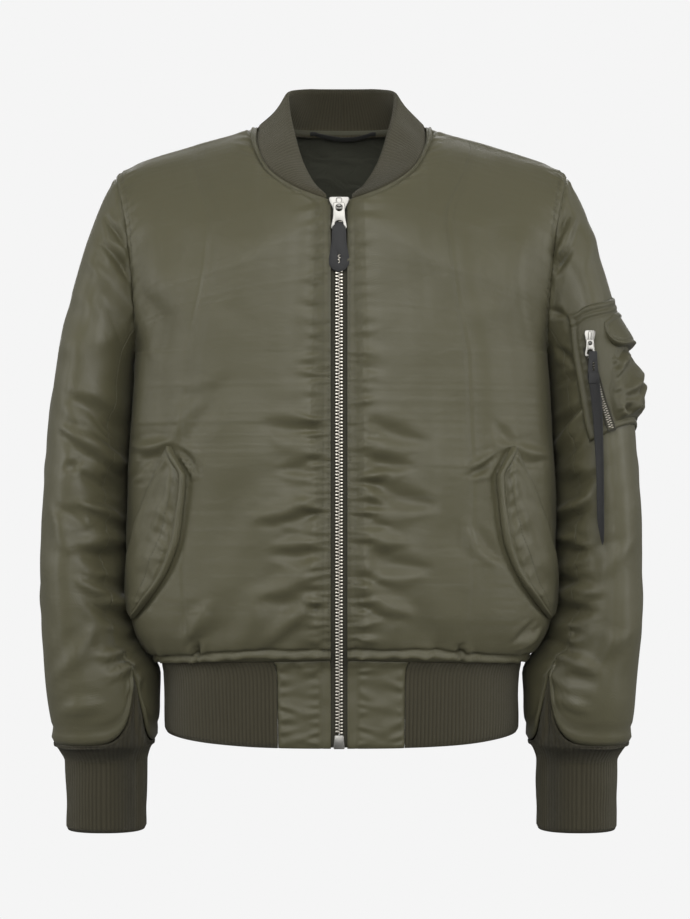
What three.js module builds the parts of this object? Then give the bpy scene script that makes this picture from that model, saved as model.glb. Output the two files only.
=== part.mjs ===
// Bomber jacket, filled out as worn, with its neck, hem, cuffs and armholes open.
// Millimetres. +Z is up, +X is the wearer's left and -Y is the front.
// The origin is at the base of the neck, where the jacket hangs on the wearer's shoulders.
import * as THREE from 'three';

// Driving dimensions
const WALL = 4;
const PLACKET_WALL = 2.6;
const RIB_WALL = 3;
const RIB_RELIEF = 0.8;
const SEAM_GAP = 0.3;
const ZIP_X = -2.2;
const ZIP_OPENING_HALF = 8.2;
const HEM_SEAM_FRONT_Z = -541;
const HEM_SEAM_SIDE_Z = -550;
const HEM_FRONT_Z = -629;
const HEM_SIDE_Z = -621;
const HEM_BACK_Z = -625;
const HEM_TAB_X = 63;
const UNDERARM_X = 212;
const UNDERARM_Z = -235;
const SHOULDER_POINT_X = 233.5;
const SHOULDER_POINT_Z = -50;
const NECK_POINT_X = 88;
const NECK_FRONT_Z = -87;
const ARMHOLE_HALF_DEPTH = 62;
const ARMHOLE_BOW = 8;
const BODY_SQUARENESS = 3;
const SLEEVE_SQUARENESS = 2.3;
const SHOULDER_DROP = 150;
const SHOULDER_ROUNDNESS = 1.4;
const CUFF_END_Z = -724;
const GUSSET_TURN = 130;
const GUSSET_HEIGHT = 77;
const GUSSET_SPREAD = 12.5;

// Half width and depth of the body at each height, down to the bottom of the rib band
const bodyRings = [
  { z: -632, half: 181, front: 118, back: 111 },
  { z: -600, half: 182, front: 120, back: 112 },
  { z: -562, half: 183, front: 121, back: 113 },
  { z: -550, half: 186, front: 122, back: 115 },
  { z: -541, half: 197, front: 127, back: 119 },
  { z: -530, half: 206, front: 133, back: 124 },
  { z: -514, half: 214, front: 138, back: 128 },
  { z: -495, half: 218.5, front: 141, back: 130 },
  { z: -437, half: 221, front: 142, back: 132 },
  { z: -368, half: 221, front: 141, back: 132 },
  { z: -314, half: 218, front: 140, back: 132 },
  { z: -250, half: 213, front: 138, back: 131 },
  { z: -235, half: 212, front: 138, back: 131 },
  { z: -200, half: 215, front: 138, back: 131 },
  { z: -150, half: 221, front: 137, back: 131 },
  { z: -100, half: 230, front: 135, back: 130 },
  { z: -50, half: 240, front: 133, back: 128 },
  { z: 40, half: 250, front: 130, back: 126 },
];

// The ridge of the shoulders, over the neck too, where nothing is cut from it
const shoulderRidge = [
  { x: 0, z: 36 },
  { x: 32, z: 33 },
  { x: 64, z: 19 },
  { x: 80, z: 9.5 },
  { x: NECK_POINT_X, z: 3 },
  { x: 152, z: -16 },
  { x: 196, z: -31 },
  { x: 224, z: -44 },
  { x: SHOULDER_POINT_X, z: SHOULDER_POINT_Z },
];

// The neckline from the centre back (0) by the shoulder (0.4) to the zip (1), and the collar's free edge
const SHOULDER_PLACE = 0.4;
const neckline = [
  { place: 0, x: 0, z: 5 },
  { place: 0.13, x: 32, z: 5 },
  { place: 0.26, x: 64, z: 4.5 },
  { place: 0.35, x: 82, z: 4 },
  { place: SHOULDER_PLACE, x: NECK_POINT_X, z: 3 },
  { place: 0.5, x: 87.5, z: -13 },
  { place: 0.6, x: 83, z: -30 },
  { place: 0.7, x: 73, z: -49 },
  { place: 0.8, x: 57, z: -64 },
  { place: 0.9, x: 35, z: -77 },
  { place: 1, x: ZIP_OPENING_HALF, z: NECK_FRONT_Z },
];
const collarEdge = [
  { place: 0, x: 0, y: 27, z: 50 },
  { place: 0.2, x: 31, y: 24, z: 49 },
  { place: 0.34, x: 50, y: 13, z: 45 },
  { place: 0.42, x: 56, y: 1, z: 40 },
  { place: 0.52, x: 53.5, y: -24, z: 18 },
  { place: 0.62, x: 47, y: -52, z: -10 },
  { place: 0.72, x: 38, y: -78, z: -40 },
  { place: 0.82, x: 28, y: -97, z: -61 },
  { place: 0.91, x: 20, y: -109, z: -73 },
  { place: 1, x: 13.5, y: -116, z: -79 },
];

// Sleeve rings from the armhole (0) to the cuff seam (1): outer and inner point, half depth, middle
const sleeveRings = [
  {
    at: 0, outX: SHOULDER_POINT_X, outZ: SHOULDER_POINT_Z, inX: UNDERARM_X, inZ: UNDERARM_Z, deep: 62, midY: 0,
  },
  { at: 0.05, outX: 246, outZ: -70, inX: 214.5, inZ: -244, deep: 68, midY: 1 },
  { at: 0.13, outX: 261, outZ: -107, inX: 217, inZ: -258, deep: 74, midY: 2 },
  { at: 0.24, outX: 276, outZ: -158, inX: 218.5, inZ: -280, deep: 79, midY: 3 },
  { at: 0.36, outX: 291, outZ: -219, inX: 221, inZ: -312, deep: 82, midY: 3 },
  { at: 0.48, outX: 301.5, outZ: -284, inX: 223.5, inZ: -352, deep: 83, midY: 3 },
  { at: 0.58, outX: 307, outZ: -344, inX: 224.5, inZ: -392, deep: 83, midY: 2 },
  { at: 0.68, outX: 310.5, outZ: -403, inX: 224.5, inZ: -437, deep: 82, midY: 0 },
  { at: 0.78, outX: 311.5, outZ: -466, inX: 223, inZ: -484, deep: 80, midY: -3 },
  { at: 0.86, outX: 310.5, outZ: -520, inX: 216, inZ: -525, deep: 77, midY: -5 },
  { at: 0.92, outX: 307, outZ: -566, inX: 191, inZ: -566, deep: 74, midY: -6 },
  { at: 0.96, outX: 303, outZ: -602, inX: 189, inZ: -600, deep: 69, midY: -7 },
  { at: 1, outX: 297, outZ: -633, inX: 194, inZ: -633, deep: 60, midY: -8 },
];
const cuffRings = [
  { z: -642, outX: 291, inX: 199, deep: 47, midY: -9 },
  { z: -654, outX: 285, inX: 202, deep: 39, midY: -9 },
  { z: CUFF_END_Z, outX: 284, inX: 202.5, deep: 38, midY: -10 },
];

// Creases on the sleeves: both ends as a turn in degrees and a place along, then size in millimetres.
// A turn of 0 is outside, 90 the front, 180 against the body and 270 the back.
const sleeveCreases = [
  { turnA: 112, alongA: 0.02, turnB: 40, alongB: 0.1, width: 9, depth: 6 },
  { turnA: 130, alongA: 0.03, turnB: 62, alongB: 0.16, width: 9, depth: 7 },
  { turnA: 150, alongA: 0.1, turnB: 78, alongB: 0.27, width: 11, depth: 4 },
  { turnA: 140, alongA: 0.5, turnB: 40, alongB: 0.44, width: 12, depth: 4 },
  { turnA: 150, alongA: 0.56, turnB: 30, alongB: 0.66, width: 13, depth: 5 },
  { turnA: 146, alongA: 0.66, turnB: 45, alongB: 0.6, width: 11, depth: 4 },
  { turnA: 150, alongA: 0.72, turnB: 20, alongB: 0.79, width: 13, depth: 4.5 },
  { turnA: 145, alongA: 0.83, turnB: 55, alongB: 0.86, width: 10, depth: 3.5 },
  { turnA: 248, alongA: 0.02, turnB: 318, alongB: 0.12, width: 9, depth: 6 },
  { turnA: 215, alongA: 0.12, turnB: 285, alongB: 0.28, width: 11, depth: 5 },
  { turnA: 212, alongA: 0.5, turnB: 320, alongB: 0.45, width: 12, depth: 5 },
  { turnA: 210, alongA: 0.6, turnB: 325, alongB: 0.68, width: 13, depth: 5 },
  { turnA: 214, alongA: 0.75, turnB: 310, alongB: 0.8, width: 12, depth: 4 },
];

// Creases on the fronts and the back, as places on the left half seen from the front
const frontCreases = [
  { xA: 24, zA: -215, xB: 96, zB: -190, width: 11, depth: 2.5 },
  { xA: 22, zA: -300, xB: 110, zB: -345, width: 13, depth: 3.5 },
  { xA: 24, zA: -385, xB: 120, zB: -352, width: 12, depth: 3.5 },
  { xA: 30, zA: -470, xB: 130, zB: -425, width: 14, depth: 3.5 },
  { xA: 60, zA: -512, xB: 165, zB: -492, width: 11, depth: 3.5 },
  { xA: 172, zA: -318, xB: 205, zB: -262, width: 10, depth: 3 },
  { xA: 205, zA: -165, xB: 150, zB: -230, width: 14, depth: 3 },
  { xA: 96, zA: -30, xB: 150, zB: -75, width: 13, depth: 2.5 },
];
const backCreases = [
  { xA: 205, zA: -170, xB: 120, zB: -235, width: 16, depth: 4 },
  { xA: 208, zA: -235, xB: 90, zB: -300, width: 16, depth: 3.5 },
  { xA: 30, zA: -430, xB: 170, zB: -400, width: 15, depth: 3.5 },
  { xA: 20, zA: -495, xB: 150, zB: -470, width: 13, depth: 4 },
  { xA: 120, zA: -520, xB: 195, zB: -490, width: 11, depth: 3.5 },
  { xA: 70, zA: -25, xB: 40, zB: -85, width: 13, depth: 2.5 },
];

// Slanted pocket flap, seen from the front, from its lower tip to its top corner
const FLAP_THICKNESS = 3;
const flapRows = [
  { z: -502, inner: 207.5, outer: 211.5 },
  { z: -497, inner: 203, outer: 215 },
  { z: -481, inner: 190, outer: 217.8 },
  { z: -461, inner: 176, outer: 217.5 },
  { z: -441, inner: 166, outer: 215 },
  { z: -421, inner: 159.5, outer: 209 },
  { z: -390, inner: 155.5, outer: 197 },
  { z: -360, inner: 153, outer: 184.5 },
  { z: -345, inner: 160, outer: 178 },
  { z: -330, inner: 168, outer: 171.5 },
];

// Finishes
const nylon = { color: 0x66654f, roughness: 0.42, metalness: 0 };
const ribKnit = { color: 0x45412f, roughness: 0.9, metalness: 0 };
const steel = { color: 0xd9d6ce, roughness: 0.25, metalness: 1 };
const blackLeather = { color: 0x2b2b2a, roughness: 0.5, metalness: 0 };
const tapeCloth = { color: 0x4a4937, roughness: 0.85, metalness: 0 };

// Numbers and curves
const clamp = (value, low, high) => Math.min(high, Math.max(low, value));
const mix = (a, b, t) => a + (b - a) * t;
const ease = (t) => t * t * (3 - 2 * t);
const point = (x, y, z) => new THREE.Vector3(x, y, z);
const degrees = (angle) => angle * Math.PI / 180;

function slopeAt(rows, key, column, row) {
  const rise = (k) => (rows[k + 1][column] - rows[k][column]) / (rows[k + 1][key] - rows[k][key]);
  if (row === 0) return rise(0);
  if (row === rows.length - 1) return rise(row - 1);
  const before = rise(row - 1);
  const after = rise(row);
  return before * after <= 0 ? 0 : 2 * before * after / (before + after);
}

// A smooth curve through one column of a table, which doesn't overshoot its rows
function tableAt(rows, key, at, column) {
  let row = 0;
  while (row < rows.length - 2 && at > rows[row + 1][key]) row += 1;
  const span = rows[row + 1][key] - rows[row][key];
  const t = clamp((at - rows[row][key]) / span, 0, 1);
  const startSlope = slopeAt(rows, key, column, row) * span;
  const endSlope = slopeAt(rows, key, column, row + 1) * span;
  const start = rows[row][column];
  const end = rows[row + 1][column];
  const rise = ease(t);
  return start + (end - start) * rise + startSlope * t * (1 - t) ** 2 - endSlope * t * t * (1 - t);
}

// A closed wall between an outer and an inner grid of points, with rows along it and columns across
// or round it. The inner grid may have one column for every few of the outer one.
function wallGeometry(outer, inner, round) {
  const rows = outer.length;
  const fineCells = outer[0].length - (round ? 0 : 1);
  const coarseCells = inner[0].length - (round ? 0 : 1);
  const step = fineCells / coarseCells;
  const half = Math.floor(step / 2);
  const innerStart = rows * outer[0].length;
  const outerAt = (row, column) => row * outer[0].length + column % outer[0].length;
  const innerAt = (row, column) => innerStart + row * inner[0].length + column % inner[0].length;
  const faces = [];
  const quad = (a, b, c, d) => faces.push(a, b, c, a, c, d);
  const rimFace = (bottom, a, b, c) => (bottom ? faces.push(b, a, c) : faces.push(a, b, c));
  for (let row = 0; row < rows - 1; row += 1) {
    for (let c = 0; c < fineCells; c += 1) {
      quad(outerAt(row, c), outerAt(row, c + 1), outerAt(row + 1, c + 1), outerAt(row + 1, c));
    }
    for (let c = 0; c < coarseCells; c += 1) {
      quad(innerAt(row, c), innerAt(row + 1, c), innerAt(row + 1, c + 1), innerAt(row, c + 1));
    }
    if (!round) {
      quad(outerAt(row, 0), outerAt(row + 1, 0), innerAt(row + 1, 0), innerAt(row, 0));
      const end = fineCells;
      const innerEnd = coarseCells;
      quad(outerAt(row + 1, end), outerAt(row, end), innerAt(row, innerEnd), innerAt(row + 1, innerEnd));
    }
  }
  for (const row of [0, rows - 1]) {
    for (let c = 0; c < coarseCells; c += 1) {
      for (let k = 0; k < step; k += 1) {
        const near = outerAt(row, c * step + k);
        const next = outerAt(row, c * step + k + 1);
        rimFace(row === 0, near, next, innerAt(row, k < half ? c : c + 1));
      }
      rimFace(row === 0, innerAt(row, c), outerAt(row, c * step + half), innerAt(row, c + 1));
    }
  }
  return facesOut([...outer.flat(), ...inner.flat()], faces);
}

// A geometry whose faces point out, whichever way round its grids were given
function facesOut(points, faces) {
  let volume = 0;
  for (let f = 0; f < faces.length; f += 3) {
    volume += points[faces[f]].dot(points[faces[f + 1]].clone().cross(points[faces[f + 2]]));
  }
  const order = volume > 0 ? faces : faces.slice().reverse();
  const geometry = new THREE.BufferGeometry();
  const places = points.flatMap((p) => [p.x, p.y, p.z]);
  geometry.setAttribute('position', new THREE.Float32BufferAttribute(places, 3));
  geometry.setIndex(order);
  geometry.computeVertexNormals();
  return geometry;
}

const jacket = new THREE.Group();

function add(name, geometry, finish) {
  const mesh = new THREE.Mesh(geometry, new THREE.MeshStandardMaterial(finish));
  mesh.name = name;
  jacket.add(mesh);
  return mesh;
}

// The direction out of a surface given as a function of two parameters, with x outwards for the left
function normalAt(surface, u, v, reach = 0.004) {
  const alongU = surface(Math.min(u + reach, 1), v).sub(surface(Math.max(u - reach, -1), v));
  const alongV = surface(u, Math.min(v + reach, 1)).sub(surface(u, Math.max(v - reach, 0)));
  return alongU.cross(alongV).normalize();
}

function creaseDepth(rows, x, z) {
  let depth = 0;
  for (const row of rows) {
    const dx = row.xB - row.xA;
    const dz = row.zB - row.zA;
    const along = clamp(((x - row.xA) * dx + (z - row.zA) * dz) / (dx * dx + dz * dz), 0, 1);
    const away = Math.hypot(x - row.xA - dx * along, z - row.zA - dz * along) / row.width;
    depth += row.depth * Math.exp(-away * away) * Math.sin(Math.PI * (0.12 + 0.76 * along));
  }
  return depth;
}

// The body: how deep it is at a place seen from the front, and the turn and width that belong together
function bodyHalf(z) {
  return tableAt(bodyRings, 'z', z, 'half');
}

function bodyDepth(x, z, face) {
  const across = (1 - Math.min(1, Math.abs(x) / bodyHalf(z)) ** BODY_SQUARENESS) ** (1 / BODY_SQUARENESS);
  const drop = clamp((tableAt(shoulderRidge, 'x', Math.abs(x), 'z') - z) / SHOULDER_DROP, 0, 1);
  const down = (1 - (1 - drop) ** SHOULDER_ROUNDNESS) ** (1 / SHOULDER_ROUNDNESS);
  return tableAt(bodyRings, 'z', z, face) * across * down;
}

function turnOf(x, z) {
  return Math.asin(clamp(x / bodyHalf(z), 0, 1) ** (BODY_SQUARENESS / 2));
}

function widthOf(turn, z) {
  return bodyHalf(z) * Math.sin(turn) ** (2 / BODY_SQUARENESS);
}

// The armhole, by an angle from the shoulder point (0) to the underarm (180), front side positive
function armholeRadial(angle) {
  const c = Math.cos(degrees(angle));
  const s = Math.sin(degrees(angle));
  const power = 2 / SLEEVE_SQUARENESS;
  return { c: Math.sign(c) * Math.abs(c) ** power, s: Math.sign(s) * Math.abs(s) ** power };
}

function armhole(angle) {
  const { c, s } = armholeRadial(angle);
  const x = mix(UNDERARM_X, SHOULDER_POINT_X, (c + 1) / 2) - ARMHOLE_BOW * s * s;
  const z = mix(UNDERARM_Z, SHOULDER_POINT_Z, (c + 1) / 2);
  return point(x, -ARMHOLE_HALF_DEPTH * s, z);
}

function armholeOutwards(angle) {
  const { c, s } = armholeRadial(angle);
  const rise = point(SHOULDER_POINT_X - UNDERARM_X, 0, SHOULDER_POINT_Z - UNDERARM_Z).normalize();
  return rise.multiplyScalar(c).add(point(0, -s, 0)).normalize();
}

// Neckline points; the zip's small shift is taken up towards the front
function zipShift(side, place) {
  return side * ZIP_X * clamp((place - 0.5) / 0.5, 0, 1);
}

function necklineAt(side, place) {
  const x = tableAt(neckline, 'place', place, 'x');
  const z = tableAt(neckline, 'place', place, 'z');
  const y = place <= SHOULDER_PLACE ? bodyDepth(x, z, 'back') : -bodyDepth(x, z, 'front');
  return point(x + zipShift(side, place), y, z);
}

// Fronts: u runs from the zip (0) to the side seam and armhole (1), v from the hem seam (0) up to the
// shoulder seam (1), past the underarm and, at the zip, past the foot of the neckline
const UNDERARM_V = 0.58;
const NECK_FOOT = 0.48;

function frontEdges(side, v) {
  const zipEdge = ZIP_OPENING_HALF + side * ZIP_X;
  if (v <= UNDERARM_V) {
    const low = v / UNDERARM_V;
    const outZ = mix(HEM_SEAM_SIDE_Z, UNDERARM_Z, low);
    const inner = point(zipEdge, 0, mix(HEM_SEAM_FRONT_Z, UNDERARM_Z, low));
    return { inner, outer: point(bodyHalf(outZ), 0, outZ), high: 0 };
  }
  const high = (v - UNDERARM_V) / (1 - UNDERARM_V);
  const outer = armhole(180 * (1 - high));
  if (high <= NECK_FOOT) {
    return { inner: point(zipEdge, 0, mix(UNDERARM_Z, NECK_FRONT_Z, high / NECK_FOOT)), outer, high };
  }
  const place = mix(1, SHOULDER_PLACE, (high - NECK_FOOT) / (1 - NECK_FOOT));
  return { inner: necklineAt(side, place), outer, high };
}

// Rows near the shoulder bend up to the ridge, fading out beside both edges
const SHOULDER_ROW = 0.999;
const EDGE_FADE = 6;

function frontSurface(side, u, v) {
  const { inner, outer, high } = frontEdges(side, v);
  const turnIn = turnOf(inner.x, inner.z);
  const turnOut = turnOf(outer.x, outer.z);
  const level = mix(inner.z, outer.z, u);
  const x = mix(widthOf(mix(turnIn, turnOut, u), level), mix(inner.x, outer.x, u), high ** 2);
  const toRidge = v > SHOULDER_ROW ? 1 : high ** 4 * Math.min(1, EDGE_FADE * u, EDGE_FADE * (1 - u));
  const z = mix(level, tableAt(shoulderRidge, 'x', x, 'z'), toRidge);
  const y = -bodyDepth(x, z, 'front');
  const edgePull = u ** 4;
  const edgeDepth = -bodyDepth(outer.x, outer.z, 'front');
  return point(x, y + edgePull * (outer.y - edgeDepth), z);
}

// Back: u runs from one side (-1) to the other (1)
const NECK_U = 0.42;

function backSurface(u, v) {
  const side = Math.sign(u) || 1;
  const a = Math.abs(u);
  const round = Math.sin(a * Math.PI / 2) ** (2 / BODY_SQUARENESS);
  if (v <= UNDERARM_V) {
    const z = mix(HEM_SEAM_SIDE_Z, UNDERARM_Z, v / UNDERARM_V);
    const x = bodyHalf(z) * round;
    return point(side * x, bodyDepth(x, z, 'back'), z);
  }
  const high = (v - UNDERARM_V) / (1 - UNDERARM_V);
  const outer = armhole(-180 * (1 - high));
  const beside = clamp((a - NECK_U) / (1 - NECK_U), 0, 1);
  const neck = necklineAt(1, SHOULDER_PLACE * Math.min(1, a / NECK_U));
  const topX = a < NECK_U ? neck.x : mix(NECK_POINT_X, SHOULDER_POINT_X, beside);
  const topZ = a < NECK_U ? neck.z : tableAt(shoulderRidge, 'x', topX, 'z');
  const x = mix(round * outer.x, topX * outer.x / SHOULDER_POINT_X, ease(high));
  const outerRise = (outer.z - UNDERARM_Z) / (SHOULDER_POINT_Z - UNDERARM_Z);
  const z = mix(UNDERARM_Z, topZ, mix(high, outerRise, a * a));
  const y = bodyDepth(x, z, 'back');
  const edgeDepth = bodyDepth(outer.x, outer.z, 'back');
  return point(side * x, y + a ** 4 * (outer.y - edgeDepth), z);
}

// How a wall's thickness runs at a seam, so that both pieces of the seam meet face to face
function seamDirection(normal, u, v) {
  const side = Math.sign(u) || 1;
  const high = (v - UNDERARM_V) / (1 - UNDERARM_V);
  if (v > 0.999) return point(normal.x, 0, normal.z).normalize();
  if (Math.abs(u) < 0.999) return normal;
  if (high < -0.001) return point(normal.x, 0, normal.z).normalize();
  const outwards = armholeOutwards(normal.y < 0 ? 180 * (1 - high) : -180 * (1 - high));
  return point(outwards.x * side, outwards.y, outwards.z);
}

const mirror = (p, side) => point(side * p.x, p.y, p.z);

function panelRows(lowRows, highRows) {
  const places = [];
  for (let row = 0; row <= lowRows; row += 1) places.push(UNDERARM_V * (row / lowRows) ** 1.15);
  for (let row = 1; row <= highRows; row += 1) places.push(mix(UNDERARM_V, 1, row / highRows));
  return places;
}

const frontRows = panelRows(12, 11);
const backRows = panelRows(10, 7);

function frontPanel(side) {
  const columns = [0, 0.05, 0.12, 0.22, 0.33, 0.45, 0.57, 0.69, 0.8, 0.9, 1];
  const outer = [];
  const inner = [];
  for (const v of frontRows) {
    const outerLine = [];
    const innerLine = [];
    columns.forEach((u) => {
      const base = frontSurface(side, u, v);
      const normal = normalAt((a, b) => frontSurface(side, Math.max(a, 0), b), u, v);
      const fade = Math.min(1, 4 * Math.max(0, u - columns[1]), 5 * (1 - u), 8 * (1 - v), 12 * v);
      const crease = fade * creaseDepth(frontCreases, base.x, base.z);
      const surface = base.clone().addScaledVector(normal, -crease);
      const inwards = seamDirection(normal, u, v);
      const wall = u <= columns[1] ? PLACKET_WALL : WALL;
      if (v > 0.999) surface.y -= SEAM_GAP / 2;
      if (u > 0.999 && v < UNDERARM_V) surface.y -= SEAM_GAP / 2;
      if (u > 0.999 && v >= UNDERARM_V) surface.x -= SEAM_GAP / 2;
      outerLine.push(mirror(surface, side));
      innerLine.push(mirror(surface.clone().addScaledVector(inwards, -wall), side));
    });
    outer.push(outerLine);
    inner.push(innerLine);
  }
  return wallGeometry(outer, inner, false);
}

function backPanel() {
  const halfColumns = [0, 0.11, 0.22, 0.33, NECK_U, 0.55, 0.68, 0.8, 0.9, 1];
  const columns = [...halfColumns.slice(1).reverse().map((u) => -u), ...halfColumns];
  const outer = [];
  const inner = [];
  for (const v of backRows) {
    const outerLine = [];
    const innerLine = [];
    columns.forEach((u) => {
      const a = Math.abs(u);
      const side = Math.sign(u) || 1;
      const base = backSurface(a, v);
      const normal = normalAt((b, c) => backSurface(Math.max(b, 0), c), a, v).negate();
      if (a < 0.001) normal.x = 0;
      normal.normalize();
      const fade = Math.min(1, 5 * (1 - a), 8 * (1 - v), 12 * v);
      const crease = fade * creaseDepth(backCreases, base.x, base.z);
      const surface = base.clone().addScaledVector(normal, -crease);
      const onSeam = a >= NECK_U || v < 0.999;
      const inwards = onSeam ? seamDirection(normal, a, v) : normal;
      if (v > 0.999 && a >= NECK_U) surface.y += SEAM_GAP / 2;
      if (a > 0.999 && v < UNDERARM_V) surface.y += SEAM_GAP / 2;
      if (a > 0.999 && v >= UNDERARM_V) surface.x -= SEAM_GAP / 2;
      outerLine.push(mirror(surface, side));
      innerLine.push(mirror(surface.clone().addScaledVector(inwards, -WALL), side));
    });
    outer.push(outerLine);
    inner.push(innerLine);
  }
  return wallGeometry(outer, inner, false);
}

add('front_left', frontPanel(1), nylon);
add('front_right', frontPanel(-1), nylon);
add('back', backPanel(), nylon);

// Sleeves: two panels each, upper and under, whose seams run down the front and the back inside the
// arm. At the front seam the lower edge rises in a notch for the cuff's gusset.
const TURN_MM = 1.14;
const ALONG_PER_MM = 0.0012;
const SLEEVE_LENGTH = 640;
const CUFF_SEAM_GAP = 0.7;
const SLEEVE_SEAM_HALF_GAP = 0.4;
const ARMHOLE_GAP = 0.5;
const GUSSET_FIT = 0.94;
const upperTurns = [-130, -110, -88, -66, -44, -22, 0, 22, 44, 66, 86, 104, 116, 123, 126.6, 130];
const underTurns = [130, 133.4, 140, 155, 172, 190, 210, 230];
const sleevePlaces = [0, 0.03, 0.06, 0.1, 0.15, 0.21, 0.27, 0.33, 0.4, 0.47, 0.54, 0.6, 0.66, 0.72, 0.78,
  0.84, 0.89, 0.94, 1];

function sleeveSurface(turn, along) {
  const ring = (column) => tableAt(sleeveRings, 'at', along, column);
  const { c, s } = armholeRadial(turn);
  const bow = ARMHOLE_BOW * s * s * Math.max(0, 1 - along / 0.12);
  const x = mix(ring('inX'), ring('outX'), (c + 1) / 2) - bow;
  return point(x, ring('midY') - ring('deep') * s, mix(ring('inZ'), ring('outZ'), (c + 1) / 2));
}

function sleeveNormal(turn, along) {
  const round = sleeveSurface(turn + 3, along).sub(sleeveSurface(turn - 3, along));
  const below = sleeveSurface(turn, Math.min(1, along + 0.01));
  const down = below.sub(sleeveSurface(turn, Math.max(0, along - 0.01)));
  return round.cross(down).normalize();
}

function gussetRise(turn, spread) {
  const around = Math.abs(((turn - GUSSET_TURN + 540) % 360) - 180) * TURN_MM;
  return GUSSET_HEIGHT * Math.exp(-around / spread);
}

function sleeveCrease(turn, along) {
  let depth = 0;
  const place = (turn + 360) % 360;
  for (const row of sleeveCreases) {
    const du = (row.turnB - row.turnA) * TURN_MM;
    const dv = (row.alongB - row.alongA) * SLEEVE_LENGTH;
    const u = (place - row.turnA) * TURN_MM;
    const v = (along - row.alongA) * SLEEVE_LENGTH;
    const t = clamp((u * du + v * dv) / (du * du + dv * dv), 0, 1);
    const away = Math.hypot(u - du * t, v - dv * t) / row.width;
    depth += row.depth * Math.exp(-away * away) * Math.sin(Math.PI * (0.12 + 0.76 * t));
  }
  return depth * Math.min(1, along * 14, (1 - along) * 14);
}

function sleevePanel(side, turns) {
  const outer = [];
  const inner = [];
  for (const place of sleevePlaces) {
    const outerLine = [];
    const innerLine = [];
    turns.forEach((seamTurn, column) => {
      const atEdge = column === 0 ? 1 : column === turns.length - 1 ? -1 : 0;
      const turn = seamTurn + atEdge * SLEEVE_SEAM_HALF_GAP / TURN_MM;
      const end = 1 - gussetRise(turn, GUSSET_SPREAD) * ALONG_PER_MM;
      const along = place * mix(1, end, place ** 6);
      const normal = place === 0 ? armholeOutwards(turn) : sleeveNormal(turn, along);
      const surface = sleeveSurface(turn, along).addScaledVector(normal, -sleeveCrease(turn, along));
      if (place === 0) surface.x += ARMHOLE_GAP;
      outerLine.push(mirror(surface, side));
      innerLine.push(mirror(surface.clone().addScaledVector(normal, -WALL), side));
    });
    outer.push(outerLine);
    inner.push(innerLine);
  }
  return wallGeometry(outer, inner, false);
}

// Cuffs: a ribbed tube whose top edge runs up into the notch as the gusset
const CUFF_RIBS = 54;

function cuffSurface(turn, row) {
  if (row < 0) {
    const along = 1 - gussetRise(turn, GUSSET_SPREAD * GUSSET_FIT ** 2) * ALONG_PER_MM * GUSSET_FIT;
    const edge = sleeveSurface(turn, along);
    edge.z -= CUFF_SEAM_GAP;
    return edge;
  }
  const { c, s } = armholeRadial(turn);
  const ring = cuffRings[row];
  return point(mix(ring.inX, ring.outX, (c + 1) / 2), ring.midY - ring.deep * s, ring.z);
}

// A rib stands away from a point near the middle of the cuff, and at the sleeve's end from its cloth
const CUFF_CORE = 0.1;
const SLEEVE_END = 0.99;

function cuff(side) {
  const outer = [];
  const inner = [];
  for (let row = -1; row < cuffRings.length; row += 1) {
    const outerLine = [];
    const innerLine = [];
    for (let column = 0; column < CUFF_RIBS * 2; column += 1) {
      const turn = GUSSET_TURN + 360 * column / (CUFF_RIBS * 2);
      const surface = cuffSurface(turn, row);
      const middleX = mix(cuffSurface(0, row).x, cuffSurface(180, row).x, 0.5);
      const middle = point(middleX, surface.y * CUFF_CORE, surface.z);
      const outwards = row < 0 ? sleeveNormal(turn, SLEEVE_END) : surface.clone().sub(middle).normalize();
      const relief = row < 0 || column % 2 ? 0 : RIB_RELIEF;
      outerLine.push(mirror(surface.clone().addScaledVector(outwards, relief), side));
      if (column % 2) continue;
      innerLine.push(mirror(surface.clone().addScaledVector(outwards, -RIB_WALL), side));
    }
    outer.push(outerLine);
    inner.push(innerLine);
  }
  return wallGeometry(outer, inner, true);
}

for (const [side, name] of [[1, 'left'], [-1, 'right']]) {
  add(`sleeve_${name}_upper`, sleevePanel(side, upperTurns), nylon);
  add(`sleeve_${name}_under`, sleevePanel(side, underTurns), nylon);
  add(`cuff_${name}`, cuff(side), ribKnit);
}

// Parameters that cut a curve into steps of even length
function evenSteps(curve, start, end, count) {
  const samples = 600;
  const lengths = [0];
  for (let k = 1; k <= samples; k += 1) {
    const from = curve(mix(start, end, (k - 1) / samples));
    lengths.push(lengths[k - 1] + from.distanceTo(curve(mix(start, end, k / samples))));
  }
  const steps = [];
  let k = 0;
  for (let step = 0; step <= count; step += 1) {
    const wanted = lengths[samples] * step / count;
    while (k < samples - 1 && lengths[k + 1] < wanted) k += 1;
    const part = clamp((wanted - lengths[k]) / (lengths[k + 1] - lengths[k]), 0, 1);
    steps.push(mix(start, end, (k + part) / samples));
  }
  return steps;
}

// Hem: the rib band and the nylon tabs follow the body's rings below the hem seam. The turn runs from
// the centre front (0) by the side (90) to the centre back (180), and on the right it is negative.
function bandPoint(anyTurn, z) {
  const turn = anyTurn > 180 ? anyTurn - 360 : anyTurn < -180 ? anyTurn + 360 : anyTurn;
  const a = Math.abs(turn);
  const c = Math.cos(degrees(a));
  const x = bodyHalf(z) * Math.sin(degrees(a)) ** (2 / BODY_SQUARENESS);
  const depth = tableAt(bodyRings, 'z', z, c > 0 ? 'front' : 'back');
  const y = -Math.sign(c) * depth * Math.abs(c) ** (2 / BODY_SQUARENESS);
  return point(x * (turn < 0 ? -1 : 1), y, z);
}

function bandOutwards(turn, z) {
  const along = bandPoint(turn + 0.5, z).sub(bandPoint(turn - 0.5, z));
  const across = point(-along.y, along.x, 0).normalize();
  return across.dot(bandPoint(turn, z)) < 0 ? across.negate() : across;
}

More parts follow.
